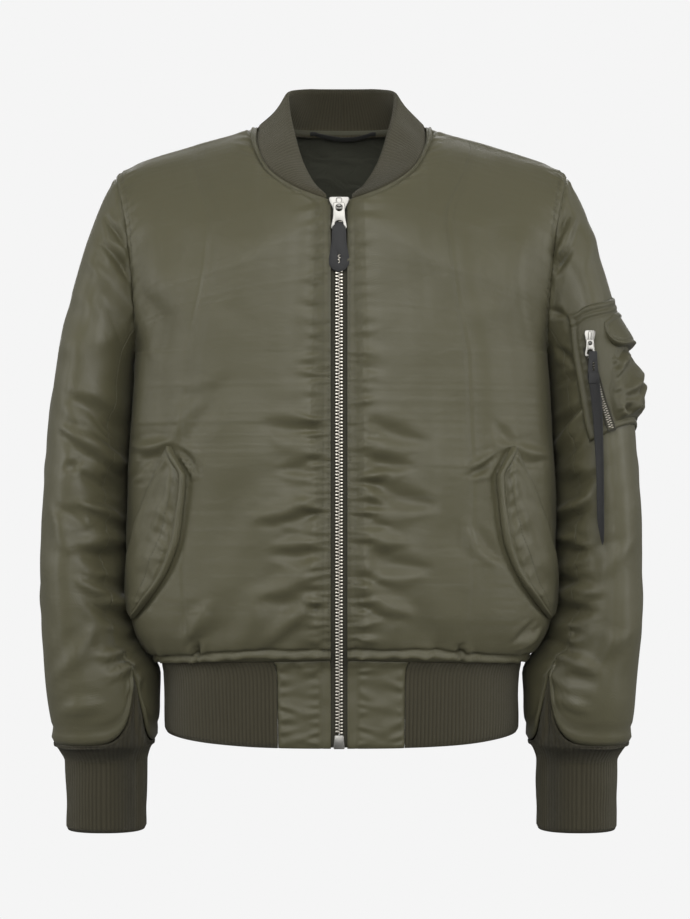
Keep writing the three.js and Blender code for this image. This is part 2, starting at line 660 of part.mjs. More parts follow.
function hemSeamZ(turn) {
  return mix(HEM_SEAM_FRONT_Z, HEM_SEAM_SIDE_Z, Math.min(1, Math.abs(turn) / 90)) - CUFF_SEAM_GAP;
}

function hemEndZ(turn) {
  const a = Math.abs(turn);
  if (a < 90) return mix(HEM_FRONT_Z, HEM_SIDE_Z, ease(a / 90));
  return mix(HEM_SIDE_Z, HEM_BACK_Z, ease((a - 90) / 90));
}

const hemParts = [0, 0.12, 0.6, 1];
const HEM_RIBS = 184;
const HEM_COARSE = 4;
const RIB_BAND_Z = -590;

function hemTurn(x) {
  return THREE.MathUtils.radToDeg(turnOf(x, RIB_BAND_Z));
}

// A band between two turns; past the centre back the turn goes on from 180 to 360
function bandWall(turns, rows, wall, relief, coarse) {
  const outer = [];
  const inner = [];
  for (const part of rows) {
    const outerLine = [];
    const innerLine = [];
    turns.forEach((turn, column) => {
      const signed = turn > 180 ? turn - 360 : turn;
      const z = mix(hemSeamZ(signed), hemEndZ(signed), part);
      const surface = bandPoint(signed, z);
      const outwards = bandOutwards(signed, z);
      const raised = column % 2 ? relief : 0;
      outerLine.push(surface.clone().addScaledVector(outwards, raised));
      if (column % coarse === 0) innerLine.push(surface.clone().addScaledVector(outwards, -wall));
    });
    outer.push(outerLine);
    inner.push(innerLine);
  }
  return wallGeometry(outer, inner, false);
}

const ribStart = hemTurn(HEM_TAB_X + SEAM_GAP);
const ribTurns = evenSteps((t) => bandPoint(t, RIB_BAND_Z), ribStart, 360 - ribStart, HEM_RIBS * 2);
add('hem_rib', bandWall(ribTurns, [0, 1], RIB_WALL, RIB_RELIEF, HEM_COARSE * 2), ribKnit);
for (const [side, name] of [[1, 'left'], [-1, 'right']]) {
  const first = hemTurn(ZIP_OPENING_HALF + side * ZIP_X);
  const last = hemTurn(HEM_TAB_X);
  const tabTurns = [0, 0.25, 0.5, 0.75, 1].map((t) => side * mix(first, last, t));
  add(`hem_tab_${name}`, bandWall(tabTurns, hemParts, PLACKET_WALL, 0, 1), nylon);
}

// Collar: a double rib band from the neckline to its free edge, tapered to both front ends
const COLLAR_RIBS = 116;
const COLLAR_WALL = 4.5;
const COLLAR_BULGE = 3;
const COLLAR_SEAM_GAP = 3.3;

function collarSurface(place, rise) {
  const side = place < 0 ? -1 : 1;
  const a = Math.abs(place);
  const base = mirror(necklineAt(side, a), side);
  const edge = point(0, 0, 0);
  edge.x = side * (tableAt(collarEdge, 'place', a, 'x') + zipShift(side, a));
  edge.y = tableAt(collarEdge, 'place', a, 'y');
  edge.z = tableAt(collarEdge, 'place', a, 'z');
  const height = edge.distanceTo(base);
  return base.lerp(edge, mix(COLLAR_SEAM_GAP / height, 1, rise));
}

function collarOutwards(place) {
  const near = 0.01;
  const ahead = collarSurface(Math.min(1, place + near), 0.5);
  const along = ahead.sub(collarSurface(Math.max(-1, place - near), 0.5));
  const up = collarSurface(place, 1).sub(collarSurface(place, 0));
  return up.cross(along).normalize();
}

function collar() {
  const places = evenSteps((t) => collarSurface(t, 0), -0.985, 0.985, COLLAR_RIBS * 2);
  const outer = [];
  const inner = [];
  for (const rise of [0, 0.5, 1]) {
    const outerLine = [];
    const innerLine = [];
    places.forEach((place, column) => {
      const outwards = collarOutwards(place);
      const surface = collarSurface(place, rise);
      const bulge = COLLAR_BULGE * Math.sin(Math.PI * rise);
      const raised = column % 2 ? RIB_RELIEF : 0;
      outerLine.push(surface.clone().addScaledVector(outwards, bulge + raised));
      if (column % 4 === 0) innerLine.push(surface.clone().addScaledVector(outwards, bulge - COLLAR_WALL));
    });
    outer.push(outerLine);
    inner.push(innerLine);
  }
  return wallGeometry(outer, inner, false);
}

add('collar', collar(), ribKnit);

// Front zip: how far forward the fronts' edges are at each height, and pieces that follow them
const ZIP_TOP_Z = -88;
const ZIP_END_Z = -615;
const TAPE_HALF_WIDTH = 12;
const TAPE_DEPTH = PLACKET_WALL + 3 * SEAM_GAP;
const TAPE_THICKNESS = 1.1;
const TEETH_HALF_WIDTH = 3.8;
const ZIP_MIDDLE_GAP = 0.2;
const zipFace = (z) => -bodyDepth(ZIP_OPENING_HALF, z, 'front');

const zipLevels = [
  ...hemParts.slice(1).reverse().map((part) => mix(hemSeamZ(0), hemEndZ(0), part)),
  ...frontRows.map((v) => frontEdges(1, v).inner.z),
];

// A strip that runs down the front: x limits, and how deep its face and its back lie behind the fronts
function frontStrip(xFrom, xTo, face, back, top, bottom) {
  const outer = [];
  const inner = [];
  for (const z of [bottom, ...zipLevels.filter((level) => level > bottom + 1 && level < top - 1), top]) {
    outer.push([point(ZIP_X + xFrom, zipFace(z) + face, z), point(ZIP_X + xTo, zipFace(z) + face, z)]);
    inner.push([point(ZIP_X + xFrom, zipFace(z) + back, z), point(ZIP_X + xTo, zipFace(z) + back, z)]);
  }
  return wallGeometry(outer, inner, false);
}

// A flat piece cut to an outline of (x, z) points, standing in front of the zip
function frontPlate(outline, front, back, faceAt, middleX) {
  const shape = new THREE.Shape(outline.map(([x, z]) => new THREE.Vector2(x, z)));
  const solid = { depth: back - front, bevelEnabled: false, curveSegments: 6 };
  const flat = new THREE.ExtrudeGeometry(shape, solid);
  const place = flat.getAttribute('position');
  for (let k = 0; k < place.count; k += 1) {
    const x = place.getX(k);
    const z = place.getY(k);
    place.setXYZ(k, middleX + x, faceAt(z) + front + (back - front) * (place.getZ(k) > 0.001 ? 0 : 1), z);
  }
  flat.computeVertexNormals();
  return flat;
}

const TEETH_TOP_Z = ZIP_TOP_Z - 9.4;
const TAPE_TOP_Z = ZIP_TOP_Z - 10;
for (const [side, name] of [[1, 'left'], [-1, 'right']]) {
  const tape = [side * ZIP_MIDDLE_GAP, side * TAPE_HALF_WIDTH];
  const teeth = [side * ZIP_MIDDLE_GAP, side * TEETH_HALF_WIDTH];
  const tapeBack = TAPE_DEPTH + TAPE_THICKNESS;
  add(`zip_tape_${name}`, frontStrip(...tape, TAPE_DEPTH, tapeBack, TAPE_TOP_Z, HEM_FRONT_Z + 1), tapeCloth);
  const teethStrip = frontStrip(...teeth, SEAM_GAP, TAPE_DEPTH - SEAM_GAP, TEETH_TOP_Z, ZIP_END_Z);
  add(`zip_teeth_${name}`, teethStrip, steel);
}

// Outlines of the zip's hard parts, from the top down, about their own middle line
const even = (rows) => rows.map(({ half, z }) => ({ left: -half, right: half, z }));
const sliderRows = even([{ half: 9.3, z: -84 }, { half: 9, z: -89 }, { half: 6.4, z: -97 }]);
const pullRows = even([
  { half: 5.4, z: -91.4 }, { half: 5.9, z: -104 }, { half: 8, z: -114.5 }, { half: 6.6, z: -116.5 },
]);
const boxRows = even([{ half: 4.4, z: ZIP_END_Z - SEAM_GAP }, { half: 5.4, z: HEM_FRONT_Z }]);
const armSliderRows = even([{ half: 5, z: -213 }, { half: 4, z: -227 }]);
const armPullRows = even([{ half: 3.6, z: -224.9 }, { half: 4.6, z: -238 }]);
const armTabRows = even([{ half: 4.7, z: -233 }, { half: 5.6, z: -259 }]);
const armRibbonRows = [
  { left: -4.4, right: 5.2, z: -256 }, { left: 1, right: 10.4, z: -405 }, { left: 4, right: 4, z: -428 },
];
const pullerRows = [{ half: 6, z: -111.5 }, { half: 6.6, z: -128 }, { half: 10.2, z: -146 }];
const PULLER_ROUND_Z = -147;
const PULLER_END_Z = -158;
for (let k = 1; k <= 4; k += 1) {
  const angle = Math.PI * k / 8;
  const z = mix(PULLER_ROUND_Z, PULLER_END_Z, Math.sin(angle));
  pullerRows.push({ half: pullerRows[2].half * Math.max(0, Math.cos(angle)), z });
}

// How far forward each hard part's front and back stand, before the face it lies on
const SLIDER = { front: -4.4, back: -0.3 };
const PULL = { front: -6.9, back: -5.1 };
const PULLER = { front: -10.2, back: -7.5 };
const BOX = { front: -1.2, back: TAPE_DEPTH - SEAM_GAP };

// A flat piece cut to rows of an outline, standing before a face
function standingPlate(rows, { front, back }, faceAt = zipFace, middleX = ZIP_X) {
  const rights = rows.map((row) => [row.right, row.z]);
  const lefts = rows.filter((row) => row.right - row.left > 0.01).reverse().map((row) => [row.left, row.z]);
  return frontPlate([...rights, ...lefts], front, back, faceAt, middleX);
}

add('zip_slider', standingPlate(sliderRows, SLIDER), steel);
add('zip_pull', standingPlate(pullRows, PULL), steel);
add('zip_puller', standingPlate(even(pullerRows), PULLER), blackLeather);
add('zip_box', standingPlate(boxRows, BOX), steel);

// Pocket flaps, made from the fronts' points moved out
const FLAP_LIFT = 1;
const FLAP_ROWS = 13;
const FLAP_EDGE_RISE = 1.2;

function frontPlace(turn, z) {
  const x = widthOf(turn, z);
  return point(x, -bodyDepth(x, z, 'front'), z);
}

function frontOutwards(turn, z) {
  const across = frontPlace(turn + 0.01, z).sub(frontPlace(turn - 0.01, z));
  const up = frontPlace(turn, z + 1).sub(frontPlace(turn, z - 1));
  return across.cross(up).normalize();
}

function pocketFlap(side) {
  const cells = [0, 0.12, 0.3, 0.5, 0.7, 0.85, 1];
  const outer = [];
  const inner = [];
  for (let row = 0; row <= FLAP_ROWS; row += 1) {
    const z = mix(flapRows[0].z, flapRows[flapRows.length - 1].z, row / FLAP_ROWS);
    const turnIn = turnOf(tableAt(flapRows, 'z', z, 'inner'), z);
    const turnOut = turnOf(tableAt(flapRows, 'z', z, 'outer'), z);
    const outerLine = [];
    const innerLine = [];
    for (const across of cells) {
      const turn = mix(turnIn, turnOut, across);
      const surface = frontPlace(turn, z);
      const outwards = frontOutwards(turn, z);
      const lift = FLAP_LIFT + FLAP_THICKNESS + (across < 0.1 ? FLAP_EDGE_RISE : 0);
      outerLine.push(mirror(surface.clone().addScaledVector(outwards, lift), side));
      innerLine.push(mirror(surface.clone().addScaledVector(outwards, FLAP_LIFT), side));
    }
    outer.push(outerLine);
    inner.push(innerLine);
  }
  return wallGeometry(outer, inner, false);
}

add('pocket_flap_left', pocketFlap(1), nylon);
add('pocket_flap_right', pocketFlap(-1), nylon);

// Arm pocket on the left sleeve, in the sleeve's own turn and place along. Each row goes across the
// piece, from its inner (front) edge to its outer one, with the turn and the place along at both. The
// row's arch says how much sooner than evenly it comes down the sleeve, so that its top looks straight.
const PATCH_LIFT = 1;
const PATCH_THICKNESS = 2.4;
const ON_PATCH = PATCH_LIFT + PATCH_THICKNESS + 0.6;
const patchRows = [
  { turnIn: 105, alongIn: 0.088, turnOut: -8, alongOut: 0.322, arch: 1.9 },
  { turnIn: 109, alongIn: 0.165, turnOut: -8, alongOut: 0.362, arch: 1.6 },
  { turnIn: 111, alongIn: 0.235, turnOut: -8, alongOut: 0.4, arch: 1.35 },
  { turnIn: 111, alongIn: 0.3, turnOut: -8, alongOut: 0.435, arch: 1.15 },
  { turnIn: 110.5, alongIn: 0.36, turnOut: -8, alongOut: 0.467 },
  { turnIn: 109.5, alongIn: 0.415, turnOut: -8, alongOut: 0.5 },
  { turnIn: 105, alongIn: 0.472, turnOut: -8, alongOut: 0.535 },
];
const penPocketRows = [
  { turnIn: 74, alongIn: 0.325, turnOut: -4, alongOut: 0.395, lift: 5 },
  { turnIn: 78, alongIn: 0.35, turnOut: -5, alongOut: 0.412, lift: 10 },
  { turnIn: 81, alongIn: 0.385, turnOut: -6, alongOut: 0.436, lift: 14 },
  { turnIn: 83, alongIn: 0.425, turnOut: -6, alongOut: 0.465, lift: 15 },
  { turnIn: 81, alongIn: 0.458, turnOut: -5, alongOut: 0.492, lift: 12 },
  { turnIn: 77, alongIn: 0.485, turnOut: -3, alongOut: 0.515, lift: 6 },
];
const penFlapRows = [
  { turnIn: 66, alongIn: 0.268, turnOut: 4, alongOut: 0.32, lift: 5.2, arch: 1.3 },
  { turnIn: 69, alongIn: 0.29, turnOut: 0, alongOut: 0.35, lift: 6.2, arch: 1.2 },
  { turnIn: 70, alongIn: 0.311, turnOut: -2, alongOut: 0.38, lift: 6.6, arch: 1.1 },
];

function armPanel(rows, cells, base, liftAt) {
  const outer = [];
  const inner = [];
  for (const row of rows) {
    const outerLine = [];
    const innerLine = [];
    for (let cell = 0; cell <= cells; cell += 1) {
      const turn = mix(row.turnIn, row.turnOut, cell / cells);
      const along = mix(row.alongIn, row.alongOut, 1 - (1 - cell / cells) ** (row.arch ?? 1));
      const surface = sleeveSurface(turn, along);
      const outwards = sleeveNormal(turn, along);
      outerLine.push(surface.clone().addScaledVector(outwards, liftAt(row, cell / cells)));
      innerLine.push(surface.clone().addScaledVector(outwards, base));
    }
    outer.push(outerLine);
    inner.push(innerLine);
  }
  return wallGeometry(outer, inner, false);
}

const patchTop = PATCH_LIFT + PATCH_THICKNESS;
const POCKET_EDGE_LIFT = 4.5;
const POCKET_FULLNESS = 0.6;
const swell = (row, t) => mix(POCKET_EDGE_LIFT, row.lift, Math.sin(Math.PI * t) ** POCKET_FULLNESS);
add('arm_pocket', armPanel(patchRows, 12, PATCH_LIFT, () => patchTop), nylon);
add('pen_pocket', armPanel(penPocketRows, 8, ON_PATCH, swell), nylon);
add('pen_flap', armPanel(penFlapRows, 6, ON_PATCH, (row) => row.lift), nylon);

// Arm pocket's zip: its strip runs down the patch beside the pen pocket
const ARM_ZIP_THICKNESS = 1.2;
const armZipRows = [
  { turnIn: 93.5, alongIn: 0.274, turnOut: 89.5, alongOut: 0.278 },
  { turnIn: 92, alongIn: 0.34, turnOut: 88, alongOut: 0.344 },
  { turnIn: 90, alongIn: 0.4, turnOut: 85.5, alongOut: 0.404 },
  { turnIn: 87, alongIn: 0.44, turnOut: 82.5, alongOut: 0.445 },
  { turnIn: 83, alongIn: 0.483, turnOut: 78.5, alongOut: 0.488 },
];
add('arm_zip', armPanel(armZipRows, 1, ON_PATCH, () => ON_PATCH + ARM_ZIP_THICKNESS), steel);

// The arm zip's slider, its pull, the leather tab and the ribbon, one before the other
const armFront = sleeveSurface(90, 0.5).y - patchTop;
const ARM_ZIP_X = 249;
const ARM_SLIDER = { front: -4.6, back: 3.1 };
const ARM_PULL = { front: -6.3, back: -4.9 };
const ARM_TAB = { front: -8.9, back: -6.6 };
const ARM_RIBBON = { front: -10.7, back: -9.2 };
add('arm_zip_slider', standingPlate(armSliderRows, ARM_SLIDER, () => armFront, ARM_ZIP_X), steel);
add('arm_zip_pull', standingPlate(armPullRows, ARM_PULL, () => armFront, ARM_ZIP_X), steel);
add('arm_zip_tab', standingPlate(armTabRows, ARM_TAB, () => armFront, ARM_ZIP_X + 2.3), blackLeather);
add('arm_zip_ribbon', standingPlate(armRibbonRows, ARM_RIBBON, () => armFront, ARM_ZIP_X + 3), blackLeather);

// Neck tape and hanger loop inside the back neck: ends in x, top and lower edge, how far the faces are
// inside the back, and how far the middle hangs
const NECK_TAPE = { from: -52, to: 52, top: 3.6, low: -2, inside: 10.4, thickness: 0.8, sag: 0 };
const HANGER_LOOP = { from: -33, to: 36, top: 2.4, low: -1.2, inside: 11.6, thickness: 1.4, sag: 5 };
const NECK_LEVEL = 1;

function neckStrip({ from, to, top, low, inside, thickness, sag }) {
  const cells = 10;
  const outer = [];
  const inner = [];
  for (const edge of [low, top]) {
    const outerLine = [];
    const innerLine = [];
    for (let cell = 0; cell <= cells; cell += 1) {
      const t = cell / cells;
      const x = mix(from, to, t);
      const z = edge - sag * Math.sin(Math.PI * t);
      const y = bodyDepth(x, Math.min(z, NECK_LEVEL), 'back') - inside;
      outerLine.push(point(x, y - thickness, z));
      innerLine.push(point(x, y, z));
    }
    outer.push(outerLine);
    inner.push(innerLine);
  }
  return wallGeometry(outer, inner, false);
}

add('neck_tape', neckStrip(NECK_TAPE), tapeCloth);
add('hanger_loop', neckStrip(HANGER_LOOP), blackLeather);

export default jacket;
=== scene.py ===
# Bomber jacket, filled out as worn. Metres in the scene; sizes below are in millimetres.
# +Z is up, +X is the wearer's left, -Y is the front, and the origin is at the base of the neck.
import math
import bpy
import numpy as np
from mathutils import Matrix, Vector, noise


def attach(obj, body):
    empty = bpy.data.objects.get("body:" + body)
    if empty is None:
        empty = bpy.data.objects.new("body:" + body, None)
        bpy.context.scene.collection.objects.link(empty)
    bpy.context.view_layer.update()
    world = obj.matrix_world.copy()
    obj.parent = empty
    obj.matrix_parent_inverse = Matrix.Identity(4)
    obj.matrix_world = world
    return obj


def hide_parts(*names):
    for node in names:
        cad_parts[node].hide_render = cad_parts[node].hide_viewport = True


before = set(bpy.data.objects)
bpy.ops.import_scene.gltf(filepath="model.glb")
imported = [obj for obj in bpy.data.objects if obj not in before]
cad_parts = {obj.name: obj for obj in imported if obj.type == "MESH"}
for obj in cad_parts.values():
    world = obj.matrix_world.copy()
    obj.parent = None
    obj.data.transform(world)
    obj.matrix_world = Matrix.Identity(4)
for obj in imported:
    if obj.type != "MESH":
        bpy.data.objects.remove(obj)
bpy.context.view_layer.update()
bpy.ops.object.select_all(action="DESELECT")

# Camera
# Level, at the height of the middle of the photograph, and far enough off that both fronts and
# both cuffs are seen as the photograph shows them.
MM_PER_PIXEL = 1.04
CAMERA_DISTANCE = 2400
camera_data = bpy.data.cameras.new("camera")
camera_data.sensor_width = 36
camera_data.lens = 36 * CAMERA_DISTANCE / (MM_PER_PIXEL * 919)
camera_data.clip_end = 50
camera = bpy.data.objects.new("camera", camera_data)
camera.location = (0.00364, -CAMERA_DISTANCE / 1000, -0.3427)
camera.rotation_euler = (math.radians(90), 0, 0)
bpy.context.scene.collection.objects.link(camera)
bpy.context.scene.camera = camera

# Fronts
# Two padded satin nylon panels, cut to the neckline, the armhole and the side seam. Each is gathered
# a little onto its zip tape and onto the ribbed hem, so small folds run in from those seams.
WALL = 1.6
ZIP_X = -2.2
ZIP_OPENING_HALF = 8.2
HEM_SEAM_FRONT_Z = -541
HEM_SEAM_SIDE_Z = -550
UNDERARM = (212, -235)
SHOULDER_POINT = (233.5, -50)
NECK_POINT_X = 88
NECK_FRONT_Z = -87
ARMHOLE_HALF_DEPTH = 62
ARMHOLE_BOW = 8
BODY_SQUARENESS = 3
SLEEVE_SQUARENESS = 2.3
UNDERARM_V = 0.58
NECK_FOOT = 0.48
SHOULDER_PLACE = 0.4


def table(names, *rows):
    return {name: np.array(column, float) for name, column in zip(names.split(), zip(*rows))}


body_rings = table(
    "z half front back",
    (-632, 181, 118, 111), (-600, 182, 120, 112), (-562, 183, 121, 113), (-550, 186, 122, 115),
    (-541, 197, 127, 119), (-530, 206, 133, 124), (-514, 214, 138, 128), (-495, 218.5, 141, 130),
    (-437, 221, 142, 132), (-368, 221, 141, 132), (-314, 218, 140, 132), (-250, 213, 138, 131),
    (-235, 212, 138, 131), (-200, 215, 138, 131), (-150, 221, 137, 131), (-100, 230, 135, 130),
    (-50, 240, 133, 128), (40, 250, 130, 126))
shoulder_ridge = table(
    "x z",
    (0, 36), (32, 33), (64, 19), (80, 9.5), (NECK_POINT_X, 3), (152, -16), (196, -31), (224, -44),
    SHOULDER_POINT)
neckline = table(
    "place x z",
    (0, 0, 5), (0.13, 32, 5), (0.26, 64, 4.5), (0.35, 82, 4), (SHOULDER_PLACE, NECK_POINT_X, 3),
    (0.5, 87.5, -13), (0.6, 83, -30), (0.7, 73, -49), (0.8, 57, -64), (0.9, 35, -77),
    (1, ZIP_OPENING_HALF, NECK_FRONT_Z))


def curve(rows, key, at, column):
    """A smooth curve through one column of a table, which doesn't overshoot its rows."""
    keys, values = rows[key], rows[column]
    rise = np.diff(values) / np.diff(keys)
    before, after = rise[:-1], rise[1:]
    even = np.where(before + after == 0, 1, before + after)
    slope = np.concatenate(([rise[0]], np.where(before * after <= 0, 0, 2 * before * after / even), [rise[-1]]))
    at = np.asarray(at, float)
    row = np.clip(np.searchsorted(keys, at) - 1, 0, len(keys) - 2)
    span = keys[row + 1] - keys[row]
    t = np.clip((at - keys[row]) / span, 0, 1)
    level = values[row] + (values[row + 1] - values[row]) * t * t * (3 - 2 * t)
    return level + slope[row] * span * t * (1 - t) ** 2 - slope[row + 1] * span * t * t * (1 - t)


def mix(a, b, t):
    return a + (b - a) * t


def ease(t):
    return t * t * (3 - 2 * t)


def smooth(low, high, value):
    return ease(np.clip((value - low) / (high - low), 0, 1))


def points(x, y, z):
    return np.stack(np.broadcast_arrays(x, y, z), -1).astype(float)


def unit(vectors):
    return vectors / np.maximum(np.linalg.norm(vectors, axis=-1, keepdims=True), 1e-9)


def mirrored(grid, side):
    return grid * np.array([side, 1, 1])


def body_half(z):
    return curve(body_rings, "z", z, "half")


def body_depth(x, z, face):
    across = (1 - np.minimum(1, abs(x) / body_half(z)) ** BODY_SQUARENESS) ** (1 / BODY_SQUARENESS)
    drop = np.clip((curve(shoulder_ridge, "x", abs(x), "z") - z) / 150, 0, 1)
    down = (1 - (1 - drop) ** 1.4) ** (1 / 1.4)
    return curve(body_rings, "z", z, face) * across * down


def turn_of(x, z):
    return np.arcsin(np.clip(x / body_half(z), 0, 1) ** (BODY_SQUARENESS / 2))


def width_of(turn, z):
    return body_half(z) * np.sin(turn) ** (2 / BODY_SQUARENESS)


def loop_radial(angle):
    c, s = np.cos(np.radians(angle)), np.sin(np.radians(angle))
    power = 2 / SLEEVE_SQUARENESS
    return np.sign(c) * abs(c) ** power, np.sign(s) * abs(s) ** power


def armhole(angle):
    c, s = loop_radial(angle)
    x = mix(UNDERARM[0], SHOULDER_POINT[0], (c + 1) / 2) - ARMHOLE_BOW * s * s
    return x, -ARMHOLE_HALF_DEPTH * s, mix(UNDERARM[1], SHOULDER_POINT[1], (c + 1) / 2)


def neckline_at(side, place):
    place = np.asarray(place, float)
    x, z = curve(neckline, "place", place, "x"), curve(neckline, "place", place, "z")
    y = np.where(place <= SHOULDER_PLACE, body_depth(x, z, "back"), -body_depth(x, z, "front"))
    return x + side * ZIP_X * np.clip((place - 0.5) / 0.5, 0, 1), y, z


def front_surface(side, u, v):
    """u runs from the zip to the side, v from the hem to the shoulder, past the foot of the neckline."""
    low = np.minimum(v / UNDERARM_V, 1)
    high = np.clip((v - UNDERARM_V) / (1 - UNDERARM_V), 0, 1)
    side_z = mix(HEM_SEAM_SIDE_Z, UNDERARM[1], low)
    arm_x, arm_y, arm_z = armhole(180 * (1 - high))
    upper = v > UNDERARM_V
    out_x, out_y, out_z = [np.where(upper, a, b) for a, b in ((arm_x, body_half(side_z)), (arm_y, 0), (arm_z, side_z))]
    neck_x, _, neck_z = neckline_at(side, mix(1, SHOULDER_PLACE, np.clip((high - NECK_FOOT) / (1 - NECK_FOOT), 0, 1)))
    on_neck = high > NECK_FOOT
    in_x = np.where(on_neck, neck_x, ZIP_OPENING_HALF + side * ZIP_X)
    zip_z = np.where(upper, mix(UNDERARM[1], NECK_FRONT_Z, high / NECK_FOOT), mix(HEM_SEAM_FRONT_Z, UNDERARM[1], low))
    in_z = np.where(on_neck, neck_z, zip_z)
    level = mix(in_z, out_z, u)
    x = mix(width_of(mix(turn_of(in_x, in_z), turn_of(out_x, out_z), u), level), mix(in_x, out_x, u), high ** 2)
    to_ridge = high ** 4 * np.minimum(1, np.minimum(6 * u, 6 * (1 - u)))
    to_ridge = np.where(v > 0.999, 1, to_ridge)
    z = mix(level, curve(shoulder_ridge, "x", x, "z"), to_ridge)
    edge = out_y + body_depth(out_x, out_z, "front")
    return points(x, -body_depth(x, z, "front") + u ** 4 * edge, z)


def grid_normals(grid, round_it=False):
    across = np.gradient(grid, axis=1)
    if round_it:
        across = (np.roll(grid, -1, 1) - np.roll(grid, 1, 1)) / 2
    return unit(np.cross(across, np.gradient(grid, axis=0)))


def lengths(grid, axis):
    """How far each point of a grid is from its first row or column, along the surface."""
    steps = np.linalg.norm(np.diff(grid, axis=axis), axis=-1)
    start = np.zeros_like(steps[:, :1] if axis == 1 else steps[:1])
    return np.concatenate((start, np.cumsum(steps, axis=axis)), axis=axis)


def folds(rows, p, q):
    """Soft ridges (height over 0) and troughs (under 0) along bowed lines on a surface."""
    total = np.zeros(np.broadcast(p, q).shape)
    for pa, qa, pb, qb, bow, width, height in rows:
        dp, dq = pb - pa, qb - qa
        length = math.hypot(dp, dq)
        t = ((p - pa) * dp + (q - qa) * dq) / length ** 2
        inside = np.clip(t, 0, 1)
        off = ((p - pa) * dq - (q - qa) * dp) / length - bow * np.sin(np.pi * inside)
        past = np.maximum(0, np.maximum(-t, t - 1)) * length
        reach = width * mix(0.55, 1, np.sin(np.pi * np.clip(inside, 0.02, 0.98)))
        away = off / reach
        swell = np.exp(-away ** 2) - 0.45 * np.exp(-(away - 1.9) ** 2) - 0.3 * np.exp(-(away + 2) ** 2)
        fade = np.sin(np.pi * mix(0.1, 0.9, inside)) ** 0.8 * np.exp(-(past / (0.8 * width)) ** 2)
        total += height * swell * fade
    return total


def puckers(along, away, spacing, reach, height, seed):
    """Short uneven gathers that run off a seam. along is the place on the seam, away the distance from it."""
    rng = np.random.default_rng(seed)
    total = np.zeros(np.broadcast(along, away).shape)
    place = min(0.0, float(np.min(along)))
    end = float(np.max(along))
    while place < end:
        place += spacing * rng.uniform(0.6, 1.5)
        size = rng.uniform(0.4, 1.25)
        length = reach * rng.uniform(0.45, 1.3)
        lean = rng.uniform(-0.35, 0.35)
        width = spacing * rng.uniform(0.22, 0.4) * (1 + away / reach * 0.7)
        off = (along - place - lean * away) / width
        rise = np.exp(-off ** 2) - 0.55 * np.exp(-(off - 1.7) ** 2)
        total += height * size * rise * np.exp(-(away / length) ** 1.6)
    return total


def lumps(grid, size, seed):
    """Slow uneven swelling of the padding, about -1 to 1."""
    flat = grid.reshape(-1, 3) / size
    values = [noise.noise(Vector((p[0] + seed, p[1], p[2]))) for p in flat]
    return np.array(values).reshape(grid.shape[:2]) * 1.6


def cloth_mesh(name, vertices, faces, uvs=None):
    mesh = bpy.data.meshes.new(name)
    mesh.from_pydata([tuple(v) for v in np.asarray(vertices) / 1000], [], faces)
    if uvs is not None:
        layer = mesh.uv_layers.new(name="cloth")
        loops = np.zeros(len(mesh.loops), dtype=np.int32)
        mesh.loops.foreach_get("vertex_index", loops)
        layer.data.foreach_set("uv", (np.asarray(uvs)[loops] / 1000).astype(np.float32).ravel())
    mesh.polygons.foreach_set("use_smooth", [True] * len(mesh.polygons))
    mesh.update()
    piece = bpy.data.objects.new(name, mesh)
    bpy.context.scene.collection.objects.link(piece)
    return piece


def shell(name, outer, inner, round_it=False, materials=(), uvs=None, body="jacket"):
    """A closed thin wall of cloth between two grids of points; its inner faces take the last material."""
    rows, columns = outer.shape[:2]
    cells = columns if round_it else columns - 1
    row, cell = np.meshgrid(np.arange(rows - 1), np.arange(cells), indexing="ij")
    here = row * columns + cell
    beside = row * columns + (cell + 1) % columns
    outside = np.stack((here, beside, beside + columns, here + columns), -1).reshape(-1, 4)
    inside = outside[:, ::-1] + rows * columns
    rims = []
    cell = np.arange(cells)
    for start, flip in ((0, True), ((rows - 1) * columns, False)):
        a, b = start + cell, start + (cell + 1) % columns
        rim = np.stack((a, b, b + rows * columns, a + rows * columns), -1)
        rims.append(rim[:, ::-1] if flip else rim)
    if not round_it:
        row = np.arange(rows - 1)
        for column, flip in ((0, False), (columns - 1, True)):
            a, b = row * columns + column, (row + 1) * columns + column
            rim = np.stack((a, b, b + rows * columns, a + rows * columns), -1)
            rims.append(rim[:, ::-1] if flip else rim)
    faces = np.concatenate([outside, inside] + rims)
    vertices = np.concatenate((outer.reshape(-1, 3), inner.reshape(-1, 3)))
    a, b, c, d = [vertices[faces[:, k]] for k in range(4)]
    if np.einsum("ij,ij->", a, np.cross(b, c)) + np.einsum("ij,ij->", a, np.cross(c, d)) < 0:
        faces = faces[:, ::-1]
    if uvs is None:
        uvs = np.stack((lengths(outer, 1), lengths(outer, 0)), -1)
    piece = cloth_mesh(name, vertices, faces.tolist(), np.concatenate([uvs.reshape(-1, 2)] * 2))
    for material in materials:
        piece.data.materials.append(material)
    smooth_faces = np.arange(len(faces)) < 2 * len(outside)
    piece.data.polygons.foreach_set("use_smooth", smooth_faces)
    if len(materials) > 1:
        index = np.zeros(len(faces), dtype=np.int32)
        index[len(outside):2 * len(outside)] = len(materials) - 1
        piece.data.polygons.foreach_set("material_index", index)
    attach(piece, body)
    return piece


